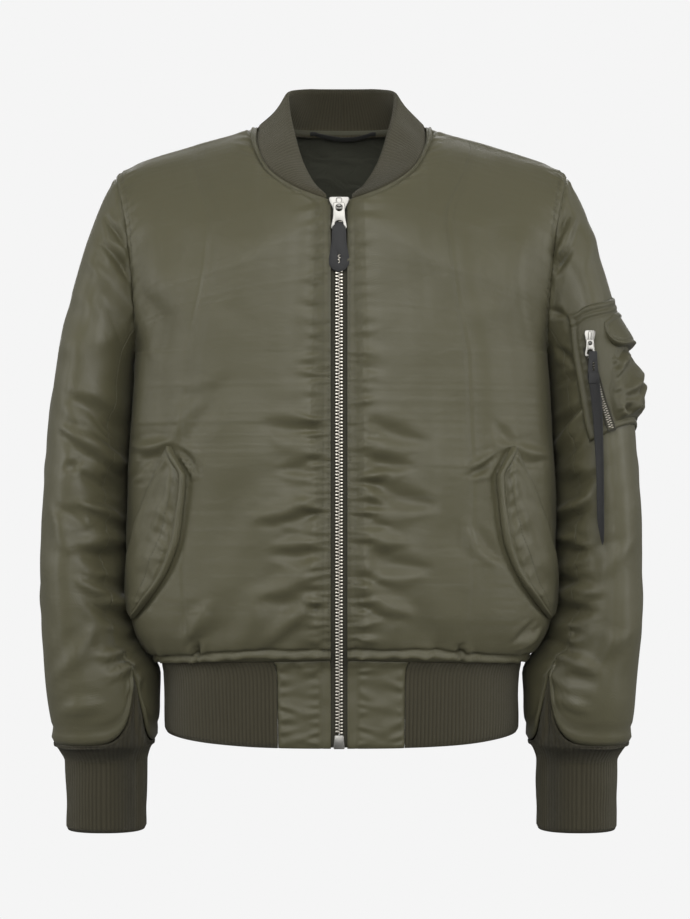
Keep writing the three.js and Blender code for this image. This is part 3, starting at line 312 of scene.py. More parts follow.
def fabric_weave():
    """Fine slanting twill of a cloth, from its own UV map in metres: its height."""
    group = bpy.data.node_groups.new("twill", "ShaderNodeTree")
    face = group.interface
    face.new_socket("Vector", in_out="INPUT", socket_type="NodeSocketVector")
    pitch = face.new_socket("Threads per metre", in_out="INPUT", socket_type="NodeSocketFloat")
    pitch.default_value = 1400
    face.new_socket("Height", in_out="OUTPUT", socket_type="NodeSocketFloat")
    nodes, links = group.nodes, group.links
    entry, out = nodes.new("NodeGroupInput"), nodes.new("NodeGroupOutput")
    split = nodes.new("ShaderNodeSeparateXYZ")
    links.new(entry.outputs["Vector"], split.inputs[0])
    lean = nodes.new("ShaderNodeMath")
    lean.operation = "MULTIPLY_ADD"
    lean.inputs[1].default_value = 0.6
    links.new(split.outputs["Y"], lean.inputs[0])
    links.new(split.outputs["X"], lean.inputs[2])
    turn = nodes.new("ShaderNodeMath")
    turn.operation = "MULTIPLY"
    links.new(lean.outputs[0], turn.inputs[0])
    links.new(entry.outputs["Threads per metre"], turn.inputs[1])
    wave = nodes.new("ShaderNodeMath")
    wave.operation = "SINE"
    links.new(turn.outputs[0], wave.inputs[0])
    links.new(wave.outputs[0], out.inputs["Height"])
    return group


def creasing():
    """Small soft wrinkles and slow colour drift of a worn cloth, over the object's own coordinates."""
    group = bpy.data.node_groups.new("creasing", "ShaderNodeTree")
    face = group.interface
    face.new_socket("Vector", in_out="INPUT", socket_type="NodeSocketVector")
    size = face.new_socket("Wrinkles per metre", in_out="INPUT", socket_type="NodeSocketFloat")
    size.default_value = 40
    for name in ("Height", "Drift"):
        face.new_socket(name, in_out="OUTPUT", socket_type="NodeSocketFloat")
    nodes, links = group.nodes, group.links
    entry, out = nodes.new("NodeGroupInput"), nodes.new("NodeGroupOutput")
    stretch = nodes.new("ShaderNodeMapping")
    stretch.inputs["Scale"].default_value = (0.75, 0.75, 1.3)
    links.new(entry.outputs["Vector"], stretch.inputs["Vector"])
    wrinkle = nodes.new("ShaderNodeTexNoise")
    wrinkle.inputs["Detail"].default_value = 3
    wrinkle.inputs["Distortion"].default_value = 0.8
    links.new(stretch.outputs[0], wrinkle.inputs["Vector"])
    links.new(entry.outputs["Wrinkles per metre"], wrinkle.inputs["Scale"])
    links.new(wrinkle.outputs["Fac"], out.inputs["Height"])
    drift = nodes.new("ShaderNodeTexNoise")
    drift.inputs["Scale"].default_value = 7
    drift.inputs["Detail"].default_value = 2
    links.new(entry.outputs["Vector"], drift.inputs["Vector"])
    links.new(drift.outputs["Fac"], out.inputs["Drift"])
    return group


TWILL = fabric_weave()
CREASING = creasing()


def cloth_material(name, dark, light, roughness, sheen, wrinkles, wrinkle_depth, threads=1400, thread_depth=0.03):
    material = bpy.data.materials.new(name)
    material.use_nodes = True
    nodes, links = material.node_tree.nodes, material.node_tree.links
    surface = nodes["Principled BSDF"]
    place, own = nodes.new("ShaderNodeTexCoord"), nodes.new("ShaderNodeUVMap")
    own.uv_map = "cloth"
    wear, weave = nodes.new("ShaderNodeGroup"), nodes.new("ShaderNodeGroup")
    wear.node_tree, weave.node_tree = CREASING, TWILL
    wear.inputs["Wrinkles per metre"].default_value = wrinkles
    weave.inputs["Threads per metre"].default_value = threads * 2 * math.pi
    links.new(place.outputs["Object"], wear.inputs["Vector"])
    links.new(own.outputs["UV"], weave.inputs["Vector"])
    tint = nodes.new("ShaderNodeMix")
    tint.data_type = "RGBA"
    tint.inputs["A"].default_value, tint.inputs["B"].default_value = (*dark, 1), (*light, 1)
    links.new(wear.outputs["Drift"], tint.inputs["Factor"])
    links.new(tint.outputs["Result"], surface.inputs["Base Color"])
    gloss = nodes.new("ShaderNodeMapRange")
    gloss.inputs["To Min"].default_value, gloss.inputs["To Max"].default_value = roughness - 0.05, roughness + 0.05
    links.new(wear.outputs["Height"], gloss.inputs["Value"])
    links.new(gloss.outputs["Result"], surface.inputs["Roughness"])
    fine, soft = nodes.new("ShaderNodeBump"), nodes.new("ShaderNodeBump")
    fine.inputs["Distance"].default_value = thread_depth / 1000
    soft.inputs["Distance"].default_value = wrinkle_depth / 1000
    links.new(weave.outputs["Height"], fine.inputs["Height"])
    links.new(wear.outputs["Height"], soft.inputs["Height"])
    links.new(soft.outputs["Normal"], fine.inputs["Normal"])
    links.new(fine.outputs["Normal"], surface.inputs["Normal"])
    surface.inputs["Specular IOR Level"].default_value = 0.42
    surface.inputs["Sheen Weight"].default_value = sheen
    surface.inputs["Sheen Roughness"].default_value = 0.45
    surface.inputs["Sheen Tint"].default_value = (0.75, 0.74, 0.62, 1)
    return material


SATIN = cloth_material("olive_satin_nylon", (0.092, 0.086, 0.048), (0.106, 0.099, 0.056), 0.46, 0.08, 40, 0.5)
# The lining's own greyer olive, set darker to stand in for the shade inside the jacket: partly painted shade.
LINING = cloth_material("lining_nylon", (0.086, 0.088, 0.066), (0.102, 0.104, 0.078), 0.40, 0.1, 45, 2.4)

# Folds as seen from the front: both ends, how far the line bows, half its width, and its height
# (over 0 a ridge, under 0 a trough). The first number of an end is its distance from the middle of
# the body, and the second its height above the origin.
right_front_folds = [
    (171, -324, 134, -284, 4, 11, 2.6), (150, -318, 118, -270, 4, 12, -2.0), (172, -326, 208, -329, 3, 6, 3.0),
    (174, -334, 207, -360, 3, 8, -3.4), (188, -344, 208, -364, 2, 5, 3.4), (162, -331, 142, -356, 2, 3.6, -3.6),
    (163, -336, 145, -362, 1, 2.6, 2.4), (163, -341, 149, -364, 1, 3.4, -3.4), (19, -311, 72, -309, 3, 9, -2.2),
    (20, -346, 58, -353, 2, 6, -2.4), (19, -373, 80, -399, 5, 9, 3.2), (20, -392, 56, -404, 2, 6, -2.2),
    (20, -412, 60, -420, -2, 7, -2.4), (19, -447, 76, -474, 5, 10, 3.6), (22, -430, 64, -436, 3, 8, -2.6),
    (21, -466, 79, -534, 4, 9, 3.0), (20, -486, 84, -537, 3, 7, -3.0), (133, -488, 152, -518, 2, 8, 3.0), (142, -524, 143, -541, 0, 2.6, -5.0),
    (100, -470, 128, -524, 4, 16, -2.4), (104, -300, 86, -420, 10, 24, 1.8), (190, -120, 160, -196, -8, 18, 1.8),
    (150, -130, 118, -190, 8, 20, -1.6), (206, -180, 190, -236, 3, 9, 2.0), (60, -352, 118, -420, -8, 20, -1.8),
]
left_front_folds = [
    (20, -300, 79, -325, 4, 8, -2.6), (17, -312, 35, -322, 1, 3, -2.2), (20, -338, 65, -349, 3, 7, -2.6),
    (30, -366, 86, -387, 4, 9, -3.2), (20, -360, 44, -354, 2, 5, 2.6), (18, -378, 40, -390, 1, 4, -2.4),
    (18, -398, 44, -408, 2, 5, -2.6), (19, -430, 80, -449, 5, 9, -3.2), (20, -416, 60, -424, 3, 7, 2.6),
    (19, -468, 66, -493, 4, 8, 3.0), (18, -456, 42, -466, 1, 5, -2.2), (18, -486, 40, -497, 1, 5, -2.4),
    (154, -308, 172, -328, 2, 6, -2.2), (126, -359, 149, -342, 2, 4, -3.2), (128, -350, 150, -335, 2, 4, 2.4),
    (130, -410, 157, -441, 3, 7, -2.4), (122, -404, 146, -440, 3, 7, 2.0), (178, -531, 199, -514, 1, 3.5, 3.2), (118, -526, 119, -542, 0, 2.6, -5.0),
    (172, -524, 190, -506, 1, 3.5, -2.6), (100, -300, 88, -420, -10, 24, 1.8), (192, -110, 160, -190, 8, 18, 1.8),
    (152, -130, 120, -190, -8, 20, -1.6), (70, -480, 104, -536, 6, 16, -2.2), (172, -330, 205, -338, 2, 6, 2.6),
]
ZIP_BAND = 9
FOLD_GAIN = 1.35
flap_rows = table(
    "z inner outer",
    (-502, 207.5, 211.5), (-497, 203, 215), (-481, 190, 217.8), (-461, 176, 217.5), (-441, 166, 215),
    (-421, 159.5, 209), (-390, 155.5, 197), (-360, 153, 184.5), (-345, 160, 178), (-330, 168, 171.5))


def under_flap(x, z):
    inner, outer = curve(flap_rows, "z", z, "inner"), curve(flap_rows, "z", z, "outer")
    beside = np.minimum(smooth(-7, 1, abs(x) - inner), smooth(-7, 1, outer + 2 - abs(x)))
    return beside * smooth(-508, -500, z) * (1 - smooth(-334, -326, z))


def beside_flap(x, z):
    """1 along the inner edge of the flap, where the front is held down, and 0 away from it."""
    away, past = curve(flap_rows, "z", z, "inner") - abs(x), abs(x) - curve(flap_rows, "z", z, "outer")
    held = np.exp(-((away - 0.5) / 3.6) ** 2) + 0.6 * np.exp(-((past - 1.5) / 2.4) ** 2)
    return held * smooth(-510, -490, z) * (1 - smooth(-338, -324, z))


def seam_roll(away):
    """Cloth turns in at a seam, and its padding stands up beside it."""
    return -1.0 * np.exp(-(away / 1.7) ** 2) + 0.9 * np.exp(-((away - 7) / 5) ** 2)


def line_at(grid, measure, distance):
    """The line over a grid's rows on which a measure, which grows along each row, has one value."""
    places = [[np.interp(distance, row_measure, row[:, k]) for k in range(3)] for row, row_measure in zip(grid, measure)]
    return np.array(places)


sewn_lines = {}


def front(side, name, fold_rows, seed):
    v = np.concatenate((np.linspace(0, UNDERARM_V, 190)[:-1], np.linspace(UNDERARM_V, 1, 96)))
    u = np.concatenate((np.linspace(0, 0.2, 24)[:-1], np.linspace(0.2, 1, 52)))
    u, v = np.meshgrid(u, v)
    base = front_surface(side, u, v)
    out = grid_normals(base)
    x, z = base[..., 0], base[..., 2]
    across, up = lengths(base, 1), lengths(base, 0)
    from_side, from_top = across[:, -1:] - across, up[-1:] - up
    high = (v - UNDERARM_V) / (1 - UNDERARM_V)
    at_zip = smooth(-0.02, 0.02, NECK_FOOT - high)
    height = FOLD_GAIN * folds(fold_rows, x, z) + 1.6 * lumps(base, 70, seed) + 0.3 * lumps(base, 26, seed + 9)
    zip_pull = smooth(ZIP_BAND - 2, ZIP_BAND + 4, across) * at_zip
    height += zip_pull * puckers(up, np.maximum(across - ZIP_BAND, 0), 8.5, 14, 5.6, seed) * mix(0.6, 1, smooth(180, 300, -z))
    height += zip_pull * puckers(up, np.maximum(across - ZIP_BAND, 0), 23, 44, 2.4, seed + 4) * smooth(250, 330, -z)
    height += puckers(across, up, 17, 20, 2.6, seed + 1) * (v < UNDERARM_V)
    height += puckers(up, from_side, 17, 20, 1.4, seed + 2) * smooth(0.5, 0.6, v)
    height += (1 - at_zip) * puckers(up, np.maximum(across - 8, 0), 9, 14, 1.3, seed + 3)
    height = height * (1 - 0.85 * under_flap(x, z)) - 3.0 * beside_flap(x, z)
    flat_band = at_zip * (1 - smooth(ZIP_BAND - 3, ZIP_BAND + 3, across))
    height = mix(height, 1.1 + puckers(up, abs(across - ZIP_BAND), 5.5, 8, 1.8, seed + 6), flat_band)
    height -= at_zip * 2.8 * np.exp(-((across - ZIP_BAND) / 1.2) ** 2)
    collar_band = (1 - at_zip) * (1 - smooth(5, 9, across))
    height = mix(height, 3.0 * np.exp(-((across - 4.0) / 2.1) ** 2), collar_band)
    height -= (1 - at_zip) * 2.4 * np.exp(-((across - 8.2) / 1.5) ** 2)
    height *= smooth(0, 14, from_side) * smooth(0, 9, from_top) * smooth(0, 7, up)
    at_arm = (v > UNDERARM_V) * np.ones_like(u)
    height += at_arm * (seam_roll(from_side) - 1.2 * np.exp(-((from_side - 7.5) / 1.1) ** 2))
    height += at_arm * puckers(up, abs(from_side - 7.5), 7, 11, 1.3, seed + 7) * smooth(0, 3, from_side)
    height += seam_roll(from_top) * smooth(0, 0.1, u)
    ridge = 5.8 + 1.5 * np.sin(x / 24 + seed) * smooth(20, 60, abs(x))
    height += 2.8 * np.exp(-((up - ridge) / 3) ** 2) - 3.2 * np.exp(-((up - ridge - 6.2) / 1.6) ** 2)
    outer = base + out * height[..., None]
    outer[-1, :, 1] -= 0.15
    on_band = np.flatnonzero(high[:, 0] < NECK_FOOT)
    on_arm = np.flatnonzero(v[:, 0] > UNDERARM_V)[1:-3]
    sewn_lines[side] = [mirrored(line_at(outer + out * 0.15, across, distance)[rows], side)
                        for distance, rows in ((1.6, on_band), (ZIP_BAND - 1.8, on_band))]
    sewn_lines[side].append(mirrored(line_at((outer + out * 0.15)[:, ::-1], from_side[:, ::-1], 7.5)[on_arm], side))
    inner = outer - out * WALL
    piece = shell(name, mirrored(outer, side), mirrored(inner, side), materials=(SATIN, LINING))
    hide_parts(f"front_{'left' if side > 0 else 'right'}")
    return piece


front(1, "front_panel_left", left_front_folds, 11)
front(-1, "front_panel_right", right_front_folds, 23)

# Back
# One padded satin panel from the hem to the shoulders and the neck. It hangs in long slack folds under
# the arms and blouses over the ribbed hem.
NECK_U = 0.42
back_folds = [
    (-206, -170, -120, -240, 10, 16, 3.0), (-208, -238, -92, -300, 8, 15, 2.6), (206, -165, 126, -228, -9, 16, 3.0),
    (208, -240, 96, -306, -8, 15, 2.6), (30, -430, 172, -398, 7, 14, 2.4), (-40, -440, -176, -410, -6, 13, 2.3),
    (20, -494, 150, -470, 6, 12, 2.6), (-26, -500, -146, -478, -5, 12, 2.4), (118, -522, 196, -488, 4, 11, 2.4),
    (-120, -520, -198, -492, -4, 11, 2.4), (70, -26, 42, -88, 4, 13, 1.6), (-72, -24, -44, -92, -4, 13, 1.6),
    (-60, -350, 64, -366, 8, 16, 1.7), (-130, -345, -190, -300, 5, 12, 1.8), (132, -350, 196, -306, -5, 12, 1.8),
    (-14, -516, 40, -524, 3, 9, 1.8), (10, -120, 96, -168, 8, 18, 1.2), (-16, -128, -100, -180, -8, 18, 1.2),
]


def back_surface(u, v):
    a = abs(u)
    round_half = np.sin(a * np.pi / 2) ** (2 / BODY_SQUARENESS)
    low_z = mix(HEM_SEAM_SIDE_Z, UNDERARM[1], np.minimum(v / UNDERARM_V, 1))
    high = np.clip((v - UNDERARM_V) / (1 - UNDERARM_V), 0, 1)
    arm_x, arm_y, arm_z = armhole(-180 * (1 - high))
    beside = np.clip((a - NECK_U) / (1 - NECK_U), 0, 1)
    neck_x, _, neck_z = neckline_at(1, SHOULDER_PLACE * np.minimum(1, a / NECK_U))
    top_x = np.where(a < NECK_U, neck_x, mix(NECK_POINT_X, SHOULDER_POINT[0], beside))
    top_z = np.where(a < NECK_U, neck_z, curve(shoulder_ridge, "x", top_x, "z"))
    high_x = mix(round_half * arm_x, top_x * arm_x / SHOULDER_POINT[0], ease(high))
    rise = (arm_z - UNDERARM[1]) / (SHOULDER_POINT[1] - UNDERARM[1])
    high_z = mix(UNDERARM[1], top_z, mix(high, rise, a * a))
    upper = v > UNDERARM_V
    x = np.where(upper, high_x, body_half(low_z) * round_half)
    z = np.where(upper, high_z, low_z)
    y = body_depth(x, z, "back") + np.where(upper, a ** 4 * (arm_y - body_depth(arm_x, arm_z, "back")), 0)
    return points(np.sign(u) * x, y, z)


v = np.concatenate((np.linspace(0, UNDERARM_V, 80)[:-1], np.linspace(UNDERARM_V, 1, 78)))
u, v = np.meshgrid(np.linspace(-1, 1, 141), v)
base = back_surface(u, v)
out = -grid_normals(base)
across, up = lengths(base, 1), lengths(base, 0)
from_side = np.minimum(across, across[:, -1:] - across)
from_top = up[-1:] - up
height = 1.4 * folds(back_folds, base[..., 0], base[..., 2]) + 1.6 * lumps(base, 75, 41) + 0.3 * lumps(base, 26, 57)
height += puckers(across, up, 17, 24, 2.6, 61) * (v < UNDERARM_V)
height += puckers(up, from_side, 17, 22, 1.6, 62) * smooth(0.5, 0.6, v)
height += puckers(across, np.maximum(from_top - 8, 0), 11, 20, 1.0, 63) * (abs(u) < NECK_U)
height *= smooth(0, 14, from_side) * smooth(0, 9, from_top) * smooth(0, 7, up)
height += seam_roll(from_side) * (v > UNDERARM_V) + seam_roll(from_top)
height += 2.8 * np.exp(-((up - 5.5) / 3) ** 2) - 2.8 * np.exp(-((up - 12) / 2) ** 2)
outer = base + out * height[..., None]
outer[-1, :, 1] += 0.15
back = shell("back_panel", outer, outer - out * WALL, materials=(SATIN, LINING))
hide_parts("back")

# Sleeves
# Full padded sleeves, each of an upper and an under panel. The seams run down the front and the back
# inside the arm, and at the front one the lower edge is notched for the cuff's knitted gusset.
TURN_MM = 1.14
SLEEVE_LENGTH = 640
GUSSET_TURN = 130
sleeve_rings = table(
    "at outX outZ inX inZ deep midY",
    (0, SHOULDER_POINT[0], SHOULDER_POINT[1], UNDERARM[0], UNDERARM[1], 62, 0), (0.05, 246, -70, 214.5, -244, 68, 1),
    (0.13, 261, -107, 217, -258, 74, 2), (0.24, 276, -158, 218.5, -280, 79, 3), (0.36, 291, -219, 221, -312, 82, 3),
    (0.48, 301.5, -284, 223.5, -352, 83, 3), (0.58, 307, -344, 224.5, -392, 83, 2), (0.68, 310.5, -403, 224.5, -437, 82, 0),
    (0.78, 311.5, -466, 223, -484, 80, -3), (0.86, 310.5, -520, 216, -525, 77, -5), (0.92, 307, -566, 191, -566, 74, -6),
    (0.96, 303, -602, 189, -600, 69, -7), (1, 297, -633, 194, -633, 60, -8))
# Folds on the front of each sleeve, as seen from the front like those of the fronts.
right_sleeve_folds = [
    (239, -98, 204, -148, 0, 4.5, -5.0), (232, -112, 203, -156, 1, 4, 3.6), (241, -125, 204, -170, 3, 5, -5.0),
    (252, -146, 208, -200, 5, 10, 3.4), (272, -282, 217, -322, 4, 10, -4.6), (279, -312, 217, -355, 3, 7, 5.2),
    (263, -345, 277, -352, 1, 5, -2.6), (262, -360, 216, -376, -2, 11, -4.4), (263, -386, 214, -417, 3, 5, 4.8),
    (256, -392, 216, -420, 3, 4, -2.4), (284, -392, 258, -412, 3, 7, -2.4), (262, -438, 215, -446, 2, 10, -4.2),
    (262, -466, 211, -504, 3, 6, 4.8), (262, -425, 214, -432, 1, 8, 3.0), (252, -490, 212, -516, 3, 6, -3.0),
    (249, -539, 207, -533, -2, 5, 3.4), (232, -562, 205, -541, -1, 5, 3.2), (214, -577, 205, -566, 0, 4, 2.4),
    (244, -551, 210, -545, -1, 5, -2.6), (290, -400, 266, -438, -4, 9, 1.8), (288, -560, 250, -516, -4, 9, 2.4),
    (284, -598, 240, -590, 2, 7, 2.4), (282, -230, 236, -222, 4, 14, 1.8), (280, -180, 250, -240, 4, 12, -1.6),
]
left_sleeve_folds = [
    (230, -93, 212, -133, 0, 4.5, -4.6), (238, -98, 218, -142, 2, 5, 3.4), (229, -135, 208, -160, 1, 4.5, -4.8),
    (230, -125, 209, -150, 1, 4, 3.4), (212, -191, 225, -197, 0, 4, -2.4), (221, -230, 233, -245, 0, 4, -2.4),
    (223, -266, 237, -255, 0, 4, -2.4), (244, -293, 217, -348, 3, 5, 4.4), (240, -288, 214, -338, 3, 5, -3.4),
    (252, -360, 216, -372, -2, 9, -4.2), (248, -382, 219, -406, 2, 5, 5.0), (246, -393, 220, -413, 1, 4, -3.0),
    (248, -436, 218, -437, 1, 6, -4.0), (236, -421, 218, -424, 0, 5, 3.4), (236, -450, 218, -459, 0, 5, 3.2),
    (234, -466, 217, -469, 0, 5, -3.2), (259, -475, 218, -483, 2, 7, 4.0), (254, -496, 218, -499, 1, 6, -3.4),
    (236, -510, 218, -515, 0, 5, 2.8), (234, -532, 216, -527, 0, 5, -3.2), (259, -556, 222, -543, 2, 6, 3.8),
    (256, -568, 220, -562, 1, 5, -3.0), (249, -596, 222, -586, 1, 5, 3.4), (290, -430, 262, -462, 4, 10, 1.8),
    (288, -520, 262, -540, 4, 9, 1.8), (276, -96, 250, -140, 4, 10, 1.8),
]
# Folds on the hidden back of both: the turn in degrees and the place along from the armhole at both
# ends, then the same three sizes. A turn of 0 is outside, 90 the front, 180 inside and 270 the back.
sleeve_back_folds = [
    (248, 0.02, 318, 0.11, -8, 9, 4.6), (216, 0.10, 285, 0.27, -12, 11, 4.6), (212, 0.40, 300, 0.36, -6, 11, 3.6),
    (210, 0.50, 320, 0.45, -8, 11, 4.4), (208, 0.60, 325, 0.67, 9, 11, 4.4), (212, 0.70, 318, 0.66, -7, 10, 3.8),
    (214, 0.77, 312, 0.82, 8, 10, 4.0), (216, 0.88, 300, 0.86, -5, 9, 3.4), (300, 0.93, 345, 0.95, 4, 10, 3.0),
    (340, 0.44, 375, 0.49, 5, 12, 2.2), (336, 0.62, 380, 0.58, -5, 12, 2.4), (338, 0.78, 378, 0.82, 5, 11, 2.4),
]


def sleeve_surface(turn, along):
    c, s = loop_radial(turn)
    ring = {name: curve(sleeve_rings, "at", along, name) for name in ("outX", "outZ", "inX", "inZ", "deep", "midY")}
    bow = ARMHOLE_BOW * s * s * np.maximum(0, 1 - along / 0.12)
    x = mix(ring["inX"], ring["outX"], (c + 1) / 2) - bow
    return points(x, ring["midY"] - ring["deep"] * s, mix(ring["inZ"], ring["outZ"], (c + 1) / 2))


def gusset_rise(turn, spread=12.5):
    around = abs((turn - GUSSET_TURN + 540) % 360 - 180) * TURN_MM
    return 77 * np.exp(-around / spread)


def sleeve_out(turn, along):
    round_it = sleeve_surface(turn + 3, along) - sleeve_surface(turn - 3, along)
    down = sleeve_surface(turn, np.minimum(1, along + 0.01)) - sleeve_surface(turn, np.maximum(0, along - 0.01))
    return unit(np.cross(round_it, down))


def around_from(turn, seam):
    """How far round the sleeve a turn is from a seam, in millimetres."""
    return abs((turn - seam + 540) % 360 - 180) * TURN_MM


def sleeve_height(turn, along, base, front_folds, seed):
    round_turn, down = turn % 360, along * SLEEVE_LENGTH
    back_rows = [(a * TURN_MM, b * SLEEVE_LENGTH, c * TURN_MM, d * SLEEVE_LENGTH, *rest) for a, b, c, d, *rest in sleeve_back_folds]
    height = folds(back_rows, round_turn * TURN_MM, down) + folds(back_rows, (round_turn + 360) * TURN_MM, down)
    height += FOLD_GAIN * smooth(-0.1, 0.3, np.sin(np.radians(turn))) * folds(front_folds, base[..., 0], base[..., 2])
    height += 1.5 * lumps(base, 60, seed) + 0.4 * lumps(base, 24, seed + 5)
    height = mix(height, 0.35 * height - 1.0, np.exp(-(((turn + 180) % 360 - 180) / 28) ** 2))
    gather = smooth(0.3, 0.5, along)
    height += gather * puckers(down, np.maximum(around_from(turn, GUSSET_TURN) - 3, 0), 14, 30, 2.0, seed + 1)
    height += gather * puckers(down, np.maximum(around_from(turn, 230) - 3, 0), 15, 32, 2.2, seed + 2)
    height += puckers(round_turn * TURN_MM, down, 13, 20, 1.8, seed + 3)
    beside_body = smooth(0.05, 0.11, along) * (1 - smooth(0.72, 0.8, along)) * np.exp(-(((round_turn - 178) / 24) ** 2))
    height = mix(height, 2.0 + 0.3 * abs(height), beside_body)
    low = smooth(0.76, 0.82, along) * (1 - smooth(0.9, 0.955, along))
    return height + 5.5 * low * np.exp(-(((round_turn - 178) / 30) ** 2))


def sleeve_panel(side, name, kind, turns, front_folds, seed):
    turn, place = np.meshgrid(turns, np.linspace(0, 1, 150))
    end = 1 - gusset_rise(turn) * 0.0012
    along = place * mix(1, end, place ** 6)
    base, out = sleeve_surface(turn, along), sleeve_out(turn, along)
    to_end, to_top = (end - along) * SLEEVE_LENGTH, along * SLEEVE_LENGTH
    near_seam = np.minimum(around_from(turn, GUSSET_TURN), around_from(turn, 230))
    height = sleeve_height(turn, along, base, front_folds, seed) * smooth(0, 12, to_top) * smooth(0, 12, to_end)
    height += seam_roll(to_top) - 1.2 * smooth(0.9, 0.97, along) * np.exp(-(near_seam / 1.6) ** 2)
    height += 2.2 * np.exp(-((to_end - 5.5) / 3) ** 2) - 1.4 * np.exp(-((to_end - 11.5) / 2.2) ** 2)
    outer = base + out * height[..., None]
    outer[0] += points(-3.0, 0, 0)
    piece = shell(name, mirrored(outer, side), mirrored(outer - out * WALL, side), materials=(SATIN, LINING))
    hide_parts(f"sleeve_{'left' if side > 0 else 'right'}_{kind}")
    return piece


upper_turns = np.concatenate((np.linspace(-130, 104, 96)[:-1], np.linspace(104, 130, 26)))
under_turns = np.concatenate((np.linspace(130, 152, 20)[:-1], np.linspace(152, 230, 34)))
for side, label, front_folds, seed in ((1, "left", left_sleeve_folds, 71), (-1, "right", right_sleeve_folds, 83)):
    sleeve_panel(side, f"sleeve_upper_{label}", "upper", upper_turns, front_folds, seed)
    sleeve_panel(side, f"sleeve_under_{label}", "under", under_turns, front_folds, seed)

# Cuffs
# Rib-knit tubes sewn to the gathered sleeve ends. The knit runs up into the notch as a pointed gusset.
RIB_PITCH = 3.9
RIB_RELIEF = 0.55
RIB_WALL = 3
cuff_rings = table(
    "z outX inX deep midY",
    (-724, 284, 202.5, 38, -10), (-700, 284.3, 202.2, 38.2, -10), (-654, 285, 202, 39, -9), (-642, 291, 199, 47, -9),
    (-634, 296.5, 194.3, 59, -8))


def knit_material(name, dark, light):
    material = cloth_material(name, dark, light, 0.86, 0.18, 260, 0.25, 1100, 0.12)
    nodes, links = material.node_tree.nodes, material.node_tree.links
    # The rib attribute darkens the knit's colour in the valleys between ribs: painted shade.
    shade = nodes.new("ShaderNodeAttribute")
    shade.attribute_name = "rib"
    rib_valley_shade = nodes.new("ShaderNodeMix")
    rib_valley_shade.data_type = "RGBA"
    rib_valley_shade.inputs["A"].default_value = (*[c * 0.72 for c in dark], 1)
    old = nodes["Principled BSDF"].inputs["Base Color"].links[0].from_socket
    links.new(old, rib_valley_shade.inputs["B"])
    links.new(shade.outputs["Fac"], rib_valley_shade.inputs["Factor"])
    links.new(rib_valley_shade.outputs["Result"], nodes["Principled BSDF"].inputs["Base Color"])
    return material


RIB_KNIT = knit_material("olive_rib_knit", (0.057, 0.050, 0.028), (0.067, 0.059, 0.034))


def rib_wave(place):
    """Height of the knit across its ribs, 0 in the valleys to 1 on the ribs. place counts ribs."""
    return abs(np.sin(np.pi * place)) ** 0.7


def paint_rib_valley_shade(piece, outer_wave, inner_wave):
    # Stores each point's rib height, which darkens the knit's valleys in its colour: painted shade.
    shade = piece.data.attributes.new("rib", "FLOAT", "POINT")
    shade.data.foreach_set("value", np.concatenate((outer_wave.ravel(), inner_wave.ravel())).astype(np.float32))


def cuff(side, label):
    ribs = 70
    turn = GUSSET_TURN + np.arange(ribs * 5) * 360 / (ribs * 5)
    wave = rib_wave(np.arange(ribs * 5) / 5)
    levels = np.concatenate((np.linspace(0, 1, 9)[:-1], np.linspace(1, 2, 26)))
    turn, level = np.meshgrid(turn, levels)
    c, s = loop_radial(turn)
    top_along = 1 - gusset_rise(turn, 12.5 * 0.94 ** 2) * 0.0012 * 0.94
    top = sleeve_surface(turn, top_along)
    top[..., 2] -= 0.7
    z = mix(-634, -724, np.clip(level - 1, 0, 1))
    ring = {name: curve(cuff_rings, "z", z, name) for name in ("outX", "inX", "deep", "midY")}
    tube = points(mix(ring["inX"], ring["outX"], (c + 1) / 2), ring["midY"] - ring["deep"] * s, z)
    tube[..., 2] = np.minimum(tube[..., 2], top[..., 2] - 3 * np.minimum(level, 1))
    base = np.where((level < 1)[..., None], mix(top, tube, np.minimum(level, 1)[..., None]), tube)
    middle = base.mean(axis=1, keepdims=True)
    out = grid_normals(base, True)
    if (out * (base - middle)).sum() < 0:
        out = -out
    wave = np.broadcast_to(wave, level.shape)
    slack = 0.9 * lumps(base, 30, 7 + side) * smooth(0, 0.6, level) * (1 - smooth(1.7, 2, level))
    end = smooth(0, 0.045, 2 - level)
    outer = base + out * (RIB_RELIEF * wave * end + slack - 1.2 * (1 - end))[..., None]
    outer -= out * 1.2 * np.exp(-(level / 0.08) ** 2)[..., None]
    inner = base - out * (RIB_WALL - RIB_RELIEF * wave * 0.6 * end - slack - 1.2 * (1 - end))[..., None]
    piece = shell(f"cuff_rib_{label}", mirrored(outer, side), mirrored(inner, side), True, (RIB_KNIT,))
    paint_rib_valley_shade(piece, wave, wave)
    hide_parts(f"cuff_{label}")
    return piece


for side, label in ((1, "left"), (-1, "right")):
    cuff(side, label)

# Hem
# A rib-knit band from one nylon tab round the back to the other, pulled in below the blousing body.
HEM_TAB_X = 63
HEM_FRONT_Z = -629
HEM_SIDE_Z = -621


def band_point(turn, z):
    """The turn runs from the centre front (0) by the left side (90) to the centre back (180)."""
    turn = (np.asarray(turn, float) + 180) % 360 - 180
    a = np.radians(abs(turn))
    depth = np.where(np.cos(a) > 0, curve(body_rings, "z", z, "front"), curve(body_rings, "z", z, "back"))
    x = body_half(z) * np.sin(a) ** (2 / BODY_SQUARENESS) * np.where(turn < 0, -1, 1)
    return points(x, -np.sign(np.cos(a)) * depth * abs(np.cos(a)) ** (2 / BODY_SQUARENESS), z)


def hem_seam_z(turn):
    a = abs((turn + 180) % 360 - 180)
    return mix(HEM_SEAM_FRONT_Z, HEM_SEAM_SIDE_Z, np.minimum(1, a / 90)) - 0.7


def hem_end_z(turn):
    a = abs((turn + 180) % 360 - 180)
    to_side, to_back = ease(np.minimum(1, a / 90)), ease(np.clip((a - 90) / 90, 0, 1))
    return mix(HEM_FRONT_Z, HEM_SIDE_Z, to_side) - 4 * to_back


